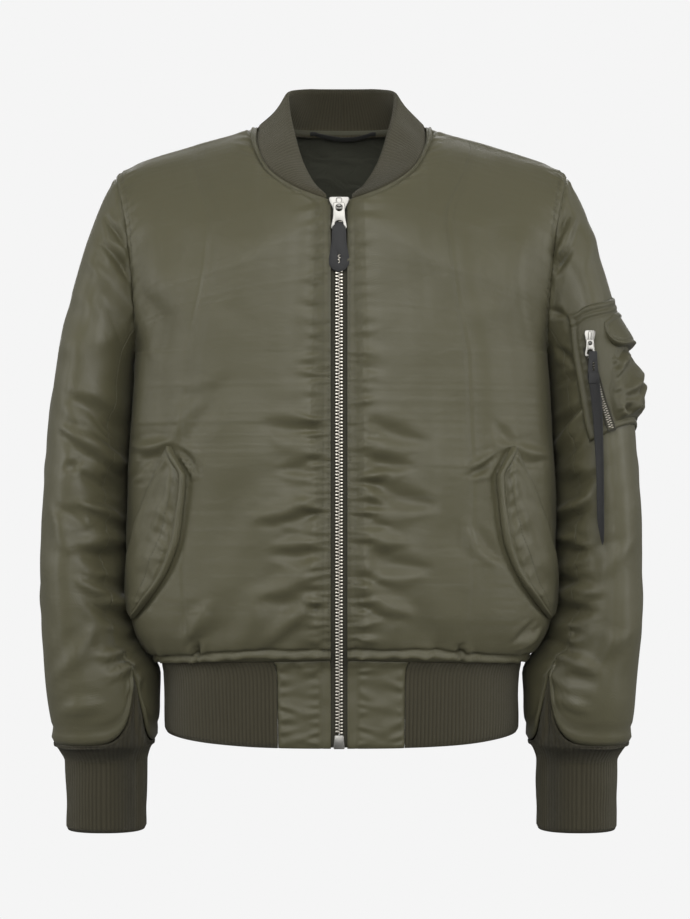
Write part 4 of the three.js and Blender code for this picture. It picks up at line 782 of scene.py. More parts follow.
def even_steps(path, start, end, count):
    """Places that cut a curve into steps of even length."""
    fine = np.linspace(start, end, 4000)
    line = path(fine)
    travelled = np.concatenate(([0], np.cumsum(np.linalg.norm(np.diff(line, axis=0), axis=1))))
    return np.interp(np.linspace(0, travelled[-1], count + 1), travelled, fine), travelled[-1]


hem_start = math.degrees(float(turn_of(HEM_TAB_X + 0.3, -590)))
girth = even_steps(lambda t: band_point(t, -590), hem_start, 360 - hem_start, 10)[1]
ribs = round(girth / RIB_PITCH)
turns = even_steps(lambda t: band_point(t, -590), hem_start, 360 - hem_start, ribs * 5)[0]
wave = rib_wave(np.arange(ribs * 5 + 1) / 5)
part = np.concatenate(([0, 0.012, 0.03], np.linspace(0.06, 0.94, 12), [0.97, 0.988, 1]))
turn, level = np.meshgrid(turns, part)
base = band_point(turn, mix(hem_seam_z(turn), hem_end_z(turn), level))
out = grid_normals(base)
if (out * points(base[..., 0], base[..., 1], 0)).sum() < 0:
    out = -out
wave = np.broadcast_to(wave, level.shape)
end = smooth(0, 0.05, 1 - level)
slack = 1.1 * lumps(base, 45, 3) * smooth(0, 0.3, level)
outer = base + out * (RIB_RELIEF * wave * end + slack - 1.3 * (1 - end) - 1.0 * np.exp(-(level / 0.03) ** 2))[..., None]
inner = base - out * (RIB_WALL - RIB_RELIEF * 0.6 * wave * end - slack - 1.3 * (1 - end))[..., None]
hem = shell("hem_band", outer, inner, materials=(RIB_KNIT,))
paint_rib_valley_shade(hem, wave, wave)
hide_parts("hem_rib")

# Hem tabs
# Folded nylon ends of the hem, faced on both sides, that carry the foot of the zip.
for side, label, seed in ((1, "left", 5), (-1, "right", 8)):
    first = math.degrees(float(turn_of(ZIP_OPENING_HALF + side * ZIP_X, -590)))
    last = math.degrees(float(turn_of(HEM_TAB_X, -590)))
    turn, level = np.meshgrid(side * np.linspace(first, last, 42), np.linspace(0, 1, 60))
    base = band_point(turn, mix(hem_seam_z(turn), hem_end_z(turn), level))
    out = grid_normals(base)
    if out[..., 1].sum() > 0:
        out = -out
    across, up = lengths(base, 1), lengths(base, 0)
    height = 0.5 * lumps(base, 26, seed) + 0.4 * lumps(base, 13, seed + 2)
    height += puckers(up, np.maximum(across - ZIP_BAND, 0), 9, 20, 1.9, seed) * smooth(ZIP_BAND, ZIP_BAND + 6, across)
    height += puckers(up, across[:, -1:] - across, 10, 18, 1.6, seed + 4) + puckers(across, up, 11, 10, 0.8, seed + 1)
    height *= smooth(0, 6, across[:, -1:] - across) * smooth(0, 4, up) * smooth(0, 5, up[-1:] - up)
    height -= 0.9 * np.exp(-((across - ZIP_BAND) / 1.4) ** 2) + 0.9 * np.exp(-((across[:, -1:] - across) / 1.8) ** 2)
    height -= 0.9 * np.exp(-((up[-1:] - up) / 1.6) ** 2) + 0.9 * np.exp(-(up / 1.8) ** 2)
    outer = base + out * height[..., None]
    tab = shell(f"hem_tab_cloth_{label}", outer, base - out * 2.4, materials=(SATIN,))
    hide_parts(f"hem_tab_{label}")

# Collar
# A doubled rib-knit band sewn into the neckline and folded over at its free edge, narrowing to points
# at the zip.
COLLAR_WALL = 4.5
COLLAR_BULGE = 3
COLLAR_TUCK = 4
collar_edge = table(
    "place x y z",
    (0, 0, 27, 47.4), (0.2, 31, 24, 47), (0.34, 50, 13, 44.4), (0.42, 56, 1, 40), (0.52, 53.5, -24, 18),
    (0.62, 47, -52, -10), (0.72, 38, -78, -40), (0.82, 28, -97, -61), (0.91, 20, -109, -73), (1, 13.5, -116, -79))


def collar_surface(place, rise):
    a, side = abs(place), np.where(place < 0, -1, 1)
    x, y, z = neckline_at(side, a)
    base = points(side * x, y, z)
    shift = side * ZIP_X * np.clip((a - 0.5) / 0.5, 0, 1)
    edge = points(side * (curve(collar_edge, "place", a, "x") + shift),
                  curve(collar_edge, "place", a, "y"), curve(collar_edge, "place", a, "z"))
    tall = np.linalg.norm(edge - base, axis=-1)
    tuck = mix(COLLAR_TUCK, 0.6, smooth(0.5, 0.92, a))
    return base + (edge - base) * mix(-tuck / tall, 1, rise)[..., None]


girth = even_steps(lambda t: collar_surface(t, 0 * t), -0.985, 0.985, 10)[1]
ribs = round(girth / RIB_PITCH)
places = even_steps(lambda t: collar_surface(t, 0 * t), -0.985, 0.985, ribs * 5)[0]
rise = np.concatenate(([0, 0.03, 0.06, 0.09, 0.12], np.linspace(0.17, 0.9, 12), [0.94, 0.97, 0.99, 1.0]))
place, level = np.meshgrid(places, rise)
base = collar_surface(place, level)
out = np.cross(np.gradient(base, axis=0), np.gradient(base, axis=1))
out = unit(out)
if (out * (base - base.mean(axis=(0, 1)))).sum() < 0:
    out = -out
wave = np.broadcast_to(rib_wave(np.arange(ribs * 5 + 1) / 5), level.shape)
slim = 1 - 2.3 * np.exp(-((abs(place) - 0.45) / 0.14) ** 2)
bulge = COLLAR_BULGE * slim * np.sin(np.pi * level) + 0.8 * lumps(base, 30, 9) * np.sin(np.pi * level)
bulge -= 3.2 * (1 - smooth(0.03, 0.14, level))
roll = 1 - np.sqrt(1 - np.clip((level - 0.9) / 0.1, 0, 1) ** 2)
ends = smooth(0, 5, np.minimum(lengths(base, 1), lengths(base, 1)[:, -1:] - lengths(base, 1)))
half = COLLAR_WALL / 2 * (1 - roll * 0.94) * mix(0.55, 1, ends)
outer = base + out * (bulge - COLLAR_WALL / 2 + half + 0.6 * RIB_RELIEF * wave * (1 - roll) * ends)[..., None]
inner = base + out * (bulge - COLLAR_WALL / 2 - half - RIB_RELIEF * 0.5 * wave * (1 - roll) * ends)[..., None]
collar = shell("collar_rib", outer, inner, materials=(RIB_KNIT,))
paint_rib_valley_shade(collar, mix(1, wave, 0.5), wave)
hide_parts("collar")

# Front zip
# A two-way-fast metal zip: woven tapes sewn behind the fronts' edges, nickel teeth clamped onto them
# turn about, a slider with a bridge, and a box at the foot.
ZIP_TOP_Z = -88
ZIP_END_Z = -615
TAPE_DEPTH = 3.5
TOOTH_PITCH = 3.3


def metal_material(name, colour, roughness):
    material = bpy.data.materials.new(name)
    material.use_nodes = True
    nodes, links = material.node_tree.nodes, material.node_tree.links
    surface, place = nodes["Principled BSDF"], nodes.new("ShaderNodeTexCoord")
    surface.inputs["Metallic"].default_value = 1
    scratch = nodes.new("ShaderNodeTexNoise")
    scratch.inputs["Scale"].default_value = 900
    scratch.inputs["Detail"].default_value = 3
    links.new(place.outputs["Object"], scratch.inputs["Vector"])
    dull, tint = nodes.new("ShaderNodeMapRange"), nodes.new("ShaderNodeMix")
    dull.inputs["To Min"].default_value, dull.inputs["To Max"].default_value = roughness - 0.08, roughness + 0.1
    tint.data_type = "RGBA"
    tint.inputs["A"].default_value = (*[c * 0.82 for c in colour], 1)
    tint.inputs["B"].default_value = (*colour, 1)
    links.new(scratch.outputs["Fac"], dull.inputs["Value"])
    links.new(scratch.outputs["Fac"], tint.inputs["Factor"])
    links.new(dull.outputs["Result"], surface.inputs["Roughness"])
    links.new(tint.outputs["Result"], surface.inputs["Base Color"])
    return material


def leather_material(name, colour, roughness):
    material = bpy.data.materials.new(name)
    material.use_nodes = True
    nodes, links = material.node_tree.nodes, material.node_tree.links
    surface, place = nodes["Principled BSDF"], nodes.new("ShaderNodeTexCoord")
    pores, bump = nodes.new("ShaderNodeTexVoronoi"), nodes.new("ShaderNodeBump")
    pores.inputs["Scale"].default_value = 1500
    links.new(place.outputs["Object"], pores.inputs["Vector"])
    bump.inputs["Distance"].default_value = 0.00012
    links.new(pores.outputs["Distance"], bump.inputs["Height"])
    links.new(bump.outputs["Normal"], surface.inputs["Normal"])
    wear, tint = nodes.new("ShaderNodeTexNoise"), nodes.new("ShaderNodeMix")
    wear.inputs["Scale"].default_value = 120
    links.new(place.outputs["Object"], wear.inputs["Vector"])
    tint.data_type = "RGBA"
    tint.inputs["A"].default_value = (*colour, 1)
    tint.inputs["B"].default_value = (*[c * 1.5 for c in colour], 1)
    links.new(wear.outputs["Fac"], tint.inputs["Factor"])
    links.new(tint.outputs["Result"], surface.inputs["Base Color"])
    surface.inputs["Roughness"].default_value = roughness
    return material


NICKEL = metal_material("polished_nickel", (0.38, 0.37, 0.345), 0.36)
TOOTH_METAL = metal_material("tooth_nickel", (0.66, 0.62, 0.54), 0.34)
BLACK_LEATHER = leather_material("black_leather", (0.008, 0.008, 0.008), 0.58)
TAPE_CLOTH = cloth_material("zip_tape_cloth", (0.052, 0.049, 0.034), (0.060, 0.057, 0.040), 0.85, 0.2, 300, 0.12, 900, 0.15)
THREAD = cloth_material("olive_thread", (0.060, 0.058, 0.040), (0.085, 0.082, 0.058), 0.6, 0.2, 600, 0.05, 2500, 0.02)


def zip_face(z):
    return -body_depth(ZIP_OPENING_HALF, z, "front")


def deselected():
    if bpy.context.object and bpy.context.object.mode != "OBJECT":
        bpy.ops.object.mode_set(mode="OBJECT")
    bpy.ops.object.select_all(action="DESELECT")


def active(piece):
    deselected()
    piece.select_set(True)
    bpy.context.view_layer.objects.active = piece


def rounded(piece, width, segments=3, angle=35):
    active(piece)
    bevel = piece.modifiers.new("edge", "BEVEL")
    bevel.width, bevel.segments, bevel.limit_method = width / 1000, segments, "ANGLE"
    bevel.angle_limit = math.radians(angle)
    bpy.ops.object.modifier_apply(modifier=bevel.name)
    bpy.ops.object.shade_smooth_by_angle(angle=math.radians(40))


def plate(name, outline, front, back, edge=0.3, holes=(), material=None, body="jacket"):
    """A flat piece pressed or cut to an outline of (x, z), from a round blank, with its edges eased."""
    deselected()
    bpy.ops.mesh.primitive_circle_add(vertices=len(outline), radius=0.01, fill_type="NGON")
    piece = bpy.context.object
    piece.name = name
    for corner, (x, z) in zip(piece.data.vertices, outline):
        corner.co = (x / 1000, front / 1000, z / 1000)
    bpy.ops.object.mode_set(mode="EDIT")
    bpy.ops.mesh.select_all(action="SELECT")
    bpy.ops.mesh.extrude_region_move(TRANSFORM_OT_translate={"value": (0, (back - front) / 1000, 0)})
    bpy.ops.mesh.select_all(action="SELECT")
    bpy.ops.mesh.normals_make_consistent(inside=False)
    bpy.ops.object.mode_set(mode="OBJECT")
    for number, hole in enumerate(holes):
        punch = plate(f"{name}_punch_{number}", hole, front - 3, back + 3, 0)
        cut = piece.modifiers.new("hole", "BOOLEAN")
        cut.operation, cut.object, cut.solver = "DIFFERENCE", punch, "EXACT"
        active(piece)
        bpy.ops.object.modifier_apply(modifier=cut.name)
        bpy.data.objects.remove(punch)
    if edge:
        rounded(piece, edge)
    if material:
        piece.data.materials.append(material)
        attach(piece, body)
    return piece


def arc(cx, cz, rx, rz, start, end, count):
    angles = np.radians(np.linspace(start, end, count))
    return [(cx + rx * math.cos(a), cz + rz * math.sin(a)) for a in angles]


def mirrored_outline(half_rows, middle=ZIP_X):
    right = [(middle + half, z) for half, z in half_rows]
    left = [(middle - half, z) for half, z in reversed(half_rows) if half > 0.01]
    return right + left


def join_copies(name, pattern, places, material, body):
    """One joined mesh of copies of a small modelled piece, each moved to a place and turned about Y."""
    shape = np.array([v.co for v in pattern.data.vertices])
    faces = [tuple(f.vertices) for f in pattern.data.polygons]
    smooth_flags = [f.use_smooth for f in pattern.data.polygons]
    vertices, joined, flags = [], [], []
    for x, y, z, flip, turn in places:
        c, s = math.cos(turn), math.sin(turn)
        part = shape * (flip, 1, 1)
        part = np.stack((part[:, 0] * c + part[:, 2] * s, part[:, 1], part[:, 2] * c - part[:, 0] * s), -1)
        start = len(vertices) * len(shape)
        vertices.append(part + np.array((x, y, z)) / 1000)
        order = -1 if flip < 0 else 1
        joined += [tuple(k + start for k in face[::order]) for face in faces]
        flags += smooth_flags
    mesh = bpy.data.meshes.new(name)
    mesh.from_pydata([tuple(p) for p in np.concatenate(vertices)], [], joined)
    mesh.polygons.foreach_set("use_smooth", flags)
    mesh.materials.append(material)
    piece = bpy.data.objects.new(name, mesh)
    bpy.context.scene.collection.objects.link(piece)
    bpy.data.objects.remove(pattern)
    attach(piece, body)
    return piece


def tooth_pattern():
    """One tooth: legs that clamp the tape's cord, a waist, and a domed head with its edges eased."""
    deselected()
    bpy.ops.mesh.primitive_cube_add(size=1, location=(0, 0, 0))
    tooth = bpy.context.object
    tooth.scale = (0.0022, 0.0026, 0.0020)
    bpy.ops.object.transform_apply(location=True, rotation=True, scale=True)
    mesh = tooth.data
    bpy.ops.object.mode_set(mode="EDIT")
    bpy.ops.mesh.select_all(action="DESELECT")
    bpy.ops.object.mode_set(mode="OBJECT")
    for face in mesh.polygons:
        face.select = face.normal.x < -0.9
    for edge in mesh.edges:
        edge.select = all(mesh.vertices[k].co.x < 0 for k in edge.vertices)
    for corner in mesh.vertices:
        corner.select = corner.co.x < 0
    bpy.ops.object.mode_set(mode="EDIT")
    bpy.ops.mesh.extrude_region_move(TRANSFORM_OT_translate={"value": (-0.0006, 0, 0)})
    bpy.ops.transform.resize(value=(1, 0.8, 0.62))
    bpy.ops.mesh.extrude_region_move(TRANSFORM_OT_translate={"value": (-0.0014, 0, 0)})
    bpy.ops.transform.resize(value=(1, 1.0, 1.25))
    bpy.ops.object.mode_set(mode="OBJECT")
    rounded(tooth, 0.32, 2)
    return tooth


for side, label in ((1, "left"), (-1, "right")):
    levels = np.linspace(-628, ZIP_TOP_Z - 10, 120)
    cells = np.array([0.4, 2.5, 5, 8, 12])
    x, z = np.meshgrid(ZIP_X + side * cells, levels)
    y = zip_face(z) + TAPE_DEPTH
    tape = shell(f"tape_cloth_{label}", points(x, y, z), points(x, y + 1.1, z), materials=(TAPE_CLOTH,))
    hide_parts(f"zip_tape_{label}")
    length = float(lengths(points(x, y, z), 0)[-1, 0]) / 1000
    first = ZIP_END_Z + 1.6 + (0 if side > 0 else TOOTH_PITCH / 2)
    rows = np.arange(first, ZIP_TOP_Z - 11, TOOTH_PITCH)
    places = [(ZIP_X + side * 2.6, float(zip_face(z)) + 1.9, z, side, 0) for z in rows]
    teeth = join_copies(f"teeth_{label}", tooth_pattern(), places, TOOTH_METAL, "jacket")
    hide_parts(f"zip_teeth_{label}")

face = float(zip_face(-92))
slider_rows = [(7.2, -84.2), (9.6, -84.6), (10.0, -86.5), (9.2, -90), (7.0, -94), (6.2, -96.8)]
slider = plate("slider_body", mirrored_outline(slider_rows), face - 4.4, face - 2.6, 0.7, material=NICKEL)
lower = plate("slider_back", mirrored_outline([(h * 0.94, z) for h, z in slider_rows]), face - 0.9, face - 0.3, 0.2)
post = plate("slider_post", mirrored_outline([(2.0, -84.8), (1.6, -90)]), face - 2.7, face - 0.8, 0.2)
bridge_outline = mirrored_outline([(2.6, -85.5), (3.1, -88), (3.1, -92.5), (2.0, -95)])
bridge = plate("slider_bridge", bridge_outline, face - 7.6, face - 4.3, 1.1)
for extra in (lower, post, bridge):
    extra.data.materials.append(NICKEL)
active(slider)
for extra in (lower, post, bridge):
    extra.select_set(True)
bpy.ops.object.join()
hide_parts("zip_slider")

# Main pull
# A flared nickel plate that hangs from the slider's bridge, with a black leather puller looped through
# its arched eye. The leather is two layers sewn together, with a keyhole slot near its round end.
pull_front = face - 8.7
pull_rows = [(4.6, -90.3), (5.6, -91.6), (5.7, -98), (6.0, -105), (7.2, -111), (8.0, -114.5), (7.4, -116.2), (6.2, -116.6)]
eye = arc(ZIP_X, -111.2, 4.0, 3.0, 0, 180, 12) + [(ZIP_X - 4.6, -113.4), (ZIP_X + 4.6, -113.4)]
window = arc(ZIP_X, -95.6, 3.3, 3.3, -180, 180, 21)[:-1]
pull = plate("pull_plate", mirrored_outline(pull_rows), pull_front, pull_front + 1.8, 0.5, [eye, window], NICKEL, "main_pull")
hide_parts("zip_pull")
leather_rows = [(4.6, -112.4), (6.6, -114.5), (7.0, -120), (7.3, -129), (9.0, -139), (10.1, -145.5)]
leather_rows += [(x, z) for x, z in arc(0, -147.5, 10.2, 11, -5, -90, 10)]
keyhole = arc(ZIP_X, -142.6, 1.5, 1.5, -30, 210, 10) + arc(ZIP_X, -149.2, 0.9, 0.9, 180, 360, 6)
puller = plate("leather_puller", mirrored_outline(leather_rows), pull_front - 1.9, pull_front - 0.4, 0.55, [keyhole],
               BLACK_LEATHER, "main_pull")
back_leaf = plate("leather_puller_back", mirrored_outline([(w * 0.97, z) for w, z in leather_rows]),
                  pull_front + 2.0, pull_front + 3.2, 0.4, (), BLACK_LEATHER, "main_pull")
loop = plate("leather_loop", mirrored_outline([(3.2, -109.4), (3.9, -110.4), (4.3, -112), (4.4, -114.6)]), pull_front + 0.7,
             pull_front + 2.4, 0.5, (), BLACK_LEATHER, "main_pull")
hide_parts("zip_puller")


def stitch_pattern(length=2.4, radius=0.32):
    """One stitch of thread, sunk a little at both ends."""
    deselected()
    bpy.ops.mesh.primitive_uv_sphere_add(segments=6, ring_count=5, radius=1)
    stitch = bpy.context.object
    stitch.scale = (length / 2000, radius / 1000, radius / 1000)
    bpy.ops.object.transform_apply(location=True, rotation=True, scale=True)
    bpy.ops.object.shade_smooth()
    return stitch


def stitches(name, line, body="jacket", length=2.4, gap=1.1, radius=0.32, material=None):
    """Stitches along a line of points in millimetres, each lying along it."""
    line = np.asarray(line, float)
    travelled = np.concatenate(([0], np.cumsum(np.linalg.norm(np.diff(line, axis=0), axis=1))))
    starts = np.arange(gap, travelled[-1] - length, length + gap)
    ends = np.stack([np.interp(starts + length, travelled, line[:, k]) for k in range(3)], -1)
    begins = np.stack([np.interp(starts, travelled, line[:, k]) for k in range(3)], -1)
    shape_of = stitch_pattern(length, radius)
    shape = np.array([v.co for v in shape_of.data.vertices]) * 1000
    faces = [tuple(f.vertices) for f in shape_of.data.polygons]
    bpy.data.objects.remove(shape_of)
    vertices, joined = [], []
    for a, b in zip(begins, ends):
        along = unit(b - a)
        side_way = unit(np.cross(along, (0.02, 1.0, 0.03)))
        third = np.cross(along, side_way)
        start = len(vertices) * len(shape)
        vertices.append((a + b) / 2 + shape[:, :1] * along + shape[:, 1:2] * side_way + shape[:, 2:] * third)
        joined += [tuple(k + start for k in face) for face in faces]
    uvs = np.concatenate(vertices)[:, [0, 2]]
    piece = cloth_mesh(name, np.concatenate(vertices), joined, uvs)
    piece.data.materials.append(material or THREAD)
    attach(piece, body)
    return piece


puller_line = [(ZIP_X + w - 1.5, pull_front - 1.9, z) for w, z in leather_rows[2:-1]]
puller_line += [(2 * ZIP_X - x, y, z) for x, y, z in reversed(puller_line)]
stitches("puller_stitches", puller_line, "main_pull", 1.6, 0.9, 0.22, BLACK_LEATHER)

for side, label in ((1, "left"), (-1, "right")):
    for number, line in enumerate(sewn_lines[side]):
        stitches(f"front_stitches_{label}_{number}", line, length=2.3, gap=0.9, radius=0.22)

# Foot of the zip
# The nickel box that holds the foot of both tapes on the hem.
foot_face = float(zip_face(-622))
box_rows = [(3.6, -615.3), (4.6, -616), (5.0, -622), (5.6, -628), (5.0, -629)]
foot = plate("zip_foot", mirrored_outline(box_rows), foot_face - 1.4, foot_face + 3.0, 0.6, (), NICKEL)
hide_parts("zip_box")

# Pocket flaps
# Slanting satin flaps over the hand pockets. The inner edge stands up as a rolled, topstitched welt,
# and the outer edge is sewn down along the side.
def front_place(turn, z):
    x = width_of(turn, z)
    return points(x, -body_depth(x, z, "front"), z)


for side, label, seed in ((1, "left", 31), (-1, "right", 37)):
    z_rows = np.concatenate(([-502.5, -501.5, -499.5], np.linspace(-497, -335, 64), [-332.5, -330.6, -329.6]))
    across, z = np.meshgrid(np.concatenate((np.linspace(0, 0.3, 15)[:-1], np.linspace(0.3, 1, 22))), z_rows)
    turn_in, turn_out = turn_of(curve(flap_rows, "z", z, "inner"), z), turn_of(curve(flap_rows, "z", z, "outer"), z)
    turn = mix(turn_in, turn_out, across)
    base = front_place(turn, z)
    step = 0.01
    out = unit(np.cross(front_place(turn + step, z) - front_place(turn - step, z),
                        front_place(turn, z + 1) - front_place(turn, z - 1)))
    girth = lengths(base, 1)
    from_out = girth[:, -1:] - girth
    up = lengths(base, 0)
    ends = np.minimum(up, up[-1:] - up)
    welt = np.exp(-((girth - 3.6) / 2.8) ** 4)
    lift = 3.4 + 2.2 * welt - 1.5 * np.exp(-((girth - 8.0) / 1.3) ** 2)
    lift += 0.9 * lumps(base, 30, seed) + puckers(up, np.maximum(girth - 9, 0), 12, 22, 1.5, seed) * smooth(8, 12, girth)
    lift += folds([(168, -340, 188, -420, 5, 5, 1.8), (172, -342, 203, -440, -6, 6, 1.6), (166, -340, 172, -410, 2, 4, 1.4),
                   (170, -420, 205, -452, 3, 8, 1.4), (186, -470, 212, -486, 3, 7, 1.2)],
                  base[..., 0], base[..., 2])
    lift *= smooth(-1.5, 2.2, girth) * mix(0.8, 1, smooth(0, 5, from_out)) * mix(0.6, 1, smooth(0, 6, ends))
    outer = base + out * (1.0 + lift)[..., None]
    flap = shell(f"pocket_flap_cloth_{label}", mirrored(outer, side), mirrored(base + out * 0.9, side), materials=(SATIN,))
    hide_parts(f"pocket_flap_{label}")
    stitch_line = mirrored((base + out * (1.0 + lift + 0.15)[..., None])[3:-3, 14], side)
    stitches(f"flap_stitches_{label}", stitch_line, length=2.4, gap=1.2, radius=0.28)

# Arm pocket
# A satin patch on the left upper arm with turned, topstitched edges. It carries a slanting zip pocket
# and a small gathered pen pocket under its own flap.
PATCH_LIFT = 1
PATCH_TOP = 3.4
patch_edges = table(
    "down turnIn alongIn turnOut alongOut arch",
    (0, 105, 0.096, -8, 0.274, 3), (0.17, 109, 0.167, -8, 0.318, 2.3), (0.34, 111, 0.235, -8, 0.37, 1.7),
    (0.5, 111, 0.3, -8, 0.42, 1.3), (0.67, 110.5, 0.36, -8, 0.467, 1), (0.83, 109.5, 0.415, -8, 0.5, 1),
    (1, 105, 0.472, -8, 0.535, 1))
pen_edges = table(
    "down turnIn alongIn turnOut alongOut arch lift",
    (0, 69, 0.325, -4, 0.385, 1, 4), (0.18, 72, 0.35, -5, 0.41, 1, 7), (0.4, 75, 0.385, -6, 0.436, 1, 12),
    (0.65, 79, 0.425, -6, 0.465, 1, 16.5), (0.84, 79, 0.458, -5, 0.492, 1, 15), (1, 73, 0.48, -3, 0.515, 1, 7))
pen_flap_edges = table(
    "down turnIn alongIn turnOut alongOut arch",
    (0, 68, 0.268, 4, 0.31, 1.3), (0.5, 69, 0.3, 0, 0.348, 1.3), (1, 70, 0.333, -2, 0.384, 1.3))


# The body satin at about 0.87 of its colour and a little rougher, for the arm pocket pieces: painted shade.
SATIN_PAINTED_DARKER = cloth_material("olive_satin_painted_darker", (0.080, 0.075, 0.042), (0.093, 0.087, 0.049), 0.5, 0.08, 40, 0.5)


def arm_grid(edges, across, down):
    turn = mix(curve(edges, "down", down, "turnIn"), curve(edges, "down", down, "turnOut"), across)
    sooner = 1 - (1 - across) ** curve(edges, "down", down, "arch")
    along = mix(curve(edges, "down", down, "alongIn"), curve(edges, "down", down, "alongOut"), sooner)
    base, out = sleeve_surface(turn, along), sleeve_out(turn, along)
    girth, drop = lengths(base, 1), lengths(base, 0)
    return base, out, girth, girth[:, -1:] - girth, drop, drop[-1:] - drop


def arm_piece(name, node, base, out, lift, under):
    outer = base + out * lift[..., None]
    piece = shell(name, outer, base + out * under, materials=(SATIN_PAINTED_DARKER,))
    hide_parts(node)
    return outer


across, down = np.meshgrid(np.linspace(0, 1, 74), np.linspace(0, 1, 96))
base, out, left, right, top, bottom = arm_grid(patch_edges, across, down)
border = np.minimum(np.minimum(left, right), np.minimum(top, bottom))
lift = PATCH_TOP + 0.5 * lumps(base, 26, 90) + 0.9 * np.exp(-((border - 3.2) / 2.2) ** 4)
lift -= 0.9 * np.exp(-((border - 7.4) / 1.1) ** 2) + 0.9 * np.exp(-((top - 13.5) / 1.2) ** 2)
lift += 0.9 * np.exp(-((top - 10.4) / 2.0) ** 4)
lift += puckers(top, np.maximum(left - 8, 0), 9, 14, 0.8, 91) * smooth(7, 10, border)
lift = mix(1.5, lift, smooth(-0.5, 1.8, border)) * mix(1, 0.42, smooth(0.5, 0.8, across))
patch = arm_piece("arm_patch", "arm_pocket", base, out, lift, 0.1)
stitches("arm_patch_stitches", np.concatenate((patch[8:-7, 7], patch[-8, 8:-7])) + out[8, 7] * 0.2, gap=1.2, radius=0.25)

across, down = np.meshgrid(np.linspace(0, 1, 90), np.linspace(0, 1, 84))
base, out, left, right, top, bottom = arm_grid(pen_edges, across, down)
border = np.minimum(np.minimum(left, right), bottom)
swell = mix(4.5, curve(pen_edges, "down", down, "lift"), np.sin(np.pi * across) ** 0.6)
gather = puckers(left, bottom, 10, 26, 4.0, 95) + puckers(top, right, 12, 22, 3.2, 96) + puckers(top, left, 11, 24, 3.6, 97)
gather += folds([(8, 30, 40, 14, 4, 5, 4.5), (14, 52, 52, 22, -5, 6, 5.0), (22, 74, 60, 44, 5, 5, 4.5), (30, 64, 50, 36, 2, 4, -4.0),
                 (10, 62, 24, 84, 3, 4, -4.0), (58, 18, 84, 56, 5, 6, 3.5)], left, top) + 1.2 * lumps(base, 15, 98)
lift = swell - 1.8 + gather * smooth(0, 9, border) * mix(1, 0.45, smooth(0.55, 0.8, across))
lift = mix(3.0, lift, smooth(-0.5, 5, border))
arm_piece("pen_pocket_cloth", "pen_pocket", base, out, lift, 1.2)

across, down = np.meshgrid(np.linspace(0, 1, 56), np.linspace(0, 1, 36))
down = down * mix(0.3, 1, np.sqrt(1 - (1 - np.minimum(across / 0.3, 1)) ** 2))
base, out, left, right, top, bottom = arm_grid(pen_flap_edges, across, down)
border = np.minimum(np.minimum(left, right), np.minimum(top, bottom))
rise = 1 + 7.5 * smooth(0, 1, down) * np.sin(np.pi * np.clip(across * 0.8 + 0.15, 0, 1))
lift = mix(2.2, 5.2, down) + rise + 0.8 * np.exp(-((border - 2.6) / 1.8) ** 4) - 0.7 * np.exp(-((border - 5.6) / 0.9) ** 2)
lift += 0.4 * lumps(base, 18, 99)
lift = mix(2.0 + 0.6 * rise, lift, smooth(-0.4, 1.6, border))
pen_flap = arm_piece("pen_flap_cloth", "pen_flap", base, out, lift, 1.2)
stitches("pen_flap_stitches", pen_flap[-7, 4:-5], gap=1.1, length=2, radius=0.22)

# Arm zip
# A short nickel zip let into the patch, with its slider, a pull, a black leather tab that is looped
# through it, and a long black grosgrain ribbon with a slanting cut end.
zip_line = table(
    "down turn along",
    (0, 91.5, 0.262), (0.35, 90.0, 0.342), (0.6, 87.8, 0.402), (0.8, 84.8, 0.443), (1, 80.8, 0.486))


def arm_zip_line(down, shift=0.0, lift=4.0):
    turn, along = curve(zip_line, "down", down, "turn"), curve(zip_line, "down", down, "along")
    base, out = sleeve_surface(turn, along), sleeve_out(turn, along)
    ahead = unit(sleeve_surface(turn - 0.3, along + 0.008) - base)
    side_way = unit(np.cross(ahead, out))
    return base + out * lift + side_way * shift, out, ahead


down, shift = np.meshgrid(np.linspace(0, 1, 60), np.linspace(-4.6, 4.6, 9), indexing="ij")
spine, out, ahead = arm_zip_line(np.linspace(0, 1, 60))
side_way = np.cross(ahead, out)
strip = spine[:, None] + side_way[:, None] * shift[..., None]
ridge = 0.9 * np.exp(-((abs(shift) - 4.2) / 0.8) ** 2)
tape = shell("arm_zip_tape", strip + out[:, None] * (0.3 + ridge)[..., None], strip - out[:, None] * 0.4, materials=(TAPE_CLOTH,))
travelled = np.concatenate(([0], np.cumsum(np.linalg.norm(np.diff(spine, axis=0), axis=1))))
count = int(travelled[-1] / 1.25)
places = []
for k in range(6, count - 1):
    at = np.interp(k * 1.25, travelled, np.linspace(0, 1, 60))
    place, facing, forward = arm_zip_line(np.array(at), lift=5.0)
    turn = math.atan2(float(forward[0]), -float(forward[2]))
    side = 1 if k % 2 else -1
    place = place + np.cross(forward, facing) * side * 0.9
    places.append((*place, side, -turn))
pattern = tooth_pattern()
pattern.data.transform(Matrix.Scale(0.5, 4))
teeth = join_copies("arm_zip_teeth", pattern, places, TOOTH_METAL, "jacket")
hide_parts("arm_zip")

# Arm slider and its pull
# The slider stands on the patch; its pull, the leather tab and the ribbon hang before it.
ARM_ZIP_X = 249
ARM_FRONT = float(sleeve_surface(90, 0.5)[1]) - PATCH_TOP
arm_slider_rows = [(3.6, -213), (5.4, -214), (5.6, -216.5), (4.9, -220), (4.0, -225), (3.6, -227)]
arm_slider = plate("arm_slider", mirrored_outline(arm_slider_rows, ARM_ZIP_X), ARM_FRONT - 4.6, ARM_FRONT - 2.6, 0.6, (), NICKEL)
arm_seat = plate("arm_slider_seat", mirrored_outline([(h * 0.8, z) for h, z in arm_slider_rows], ARM_ZIP_X),
                 ARM_FRONT - 2.7, ARM_FRONT + 3.0, 0.4)
arm_bridge = plate("arm_slider_bridge", mirrored_outline([(1.6, -214.5), (1.9, -217), (1.9, -222), (1.2, -224)], ARM_ZIP_X),
                   ARM_FRONT - 6.2, ARM_FRONT - 4.5, 0.7)
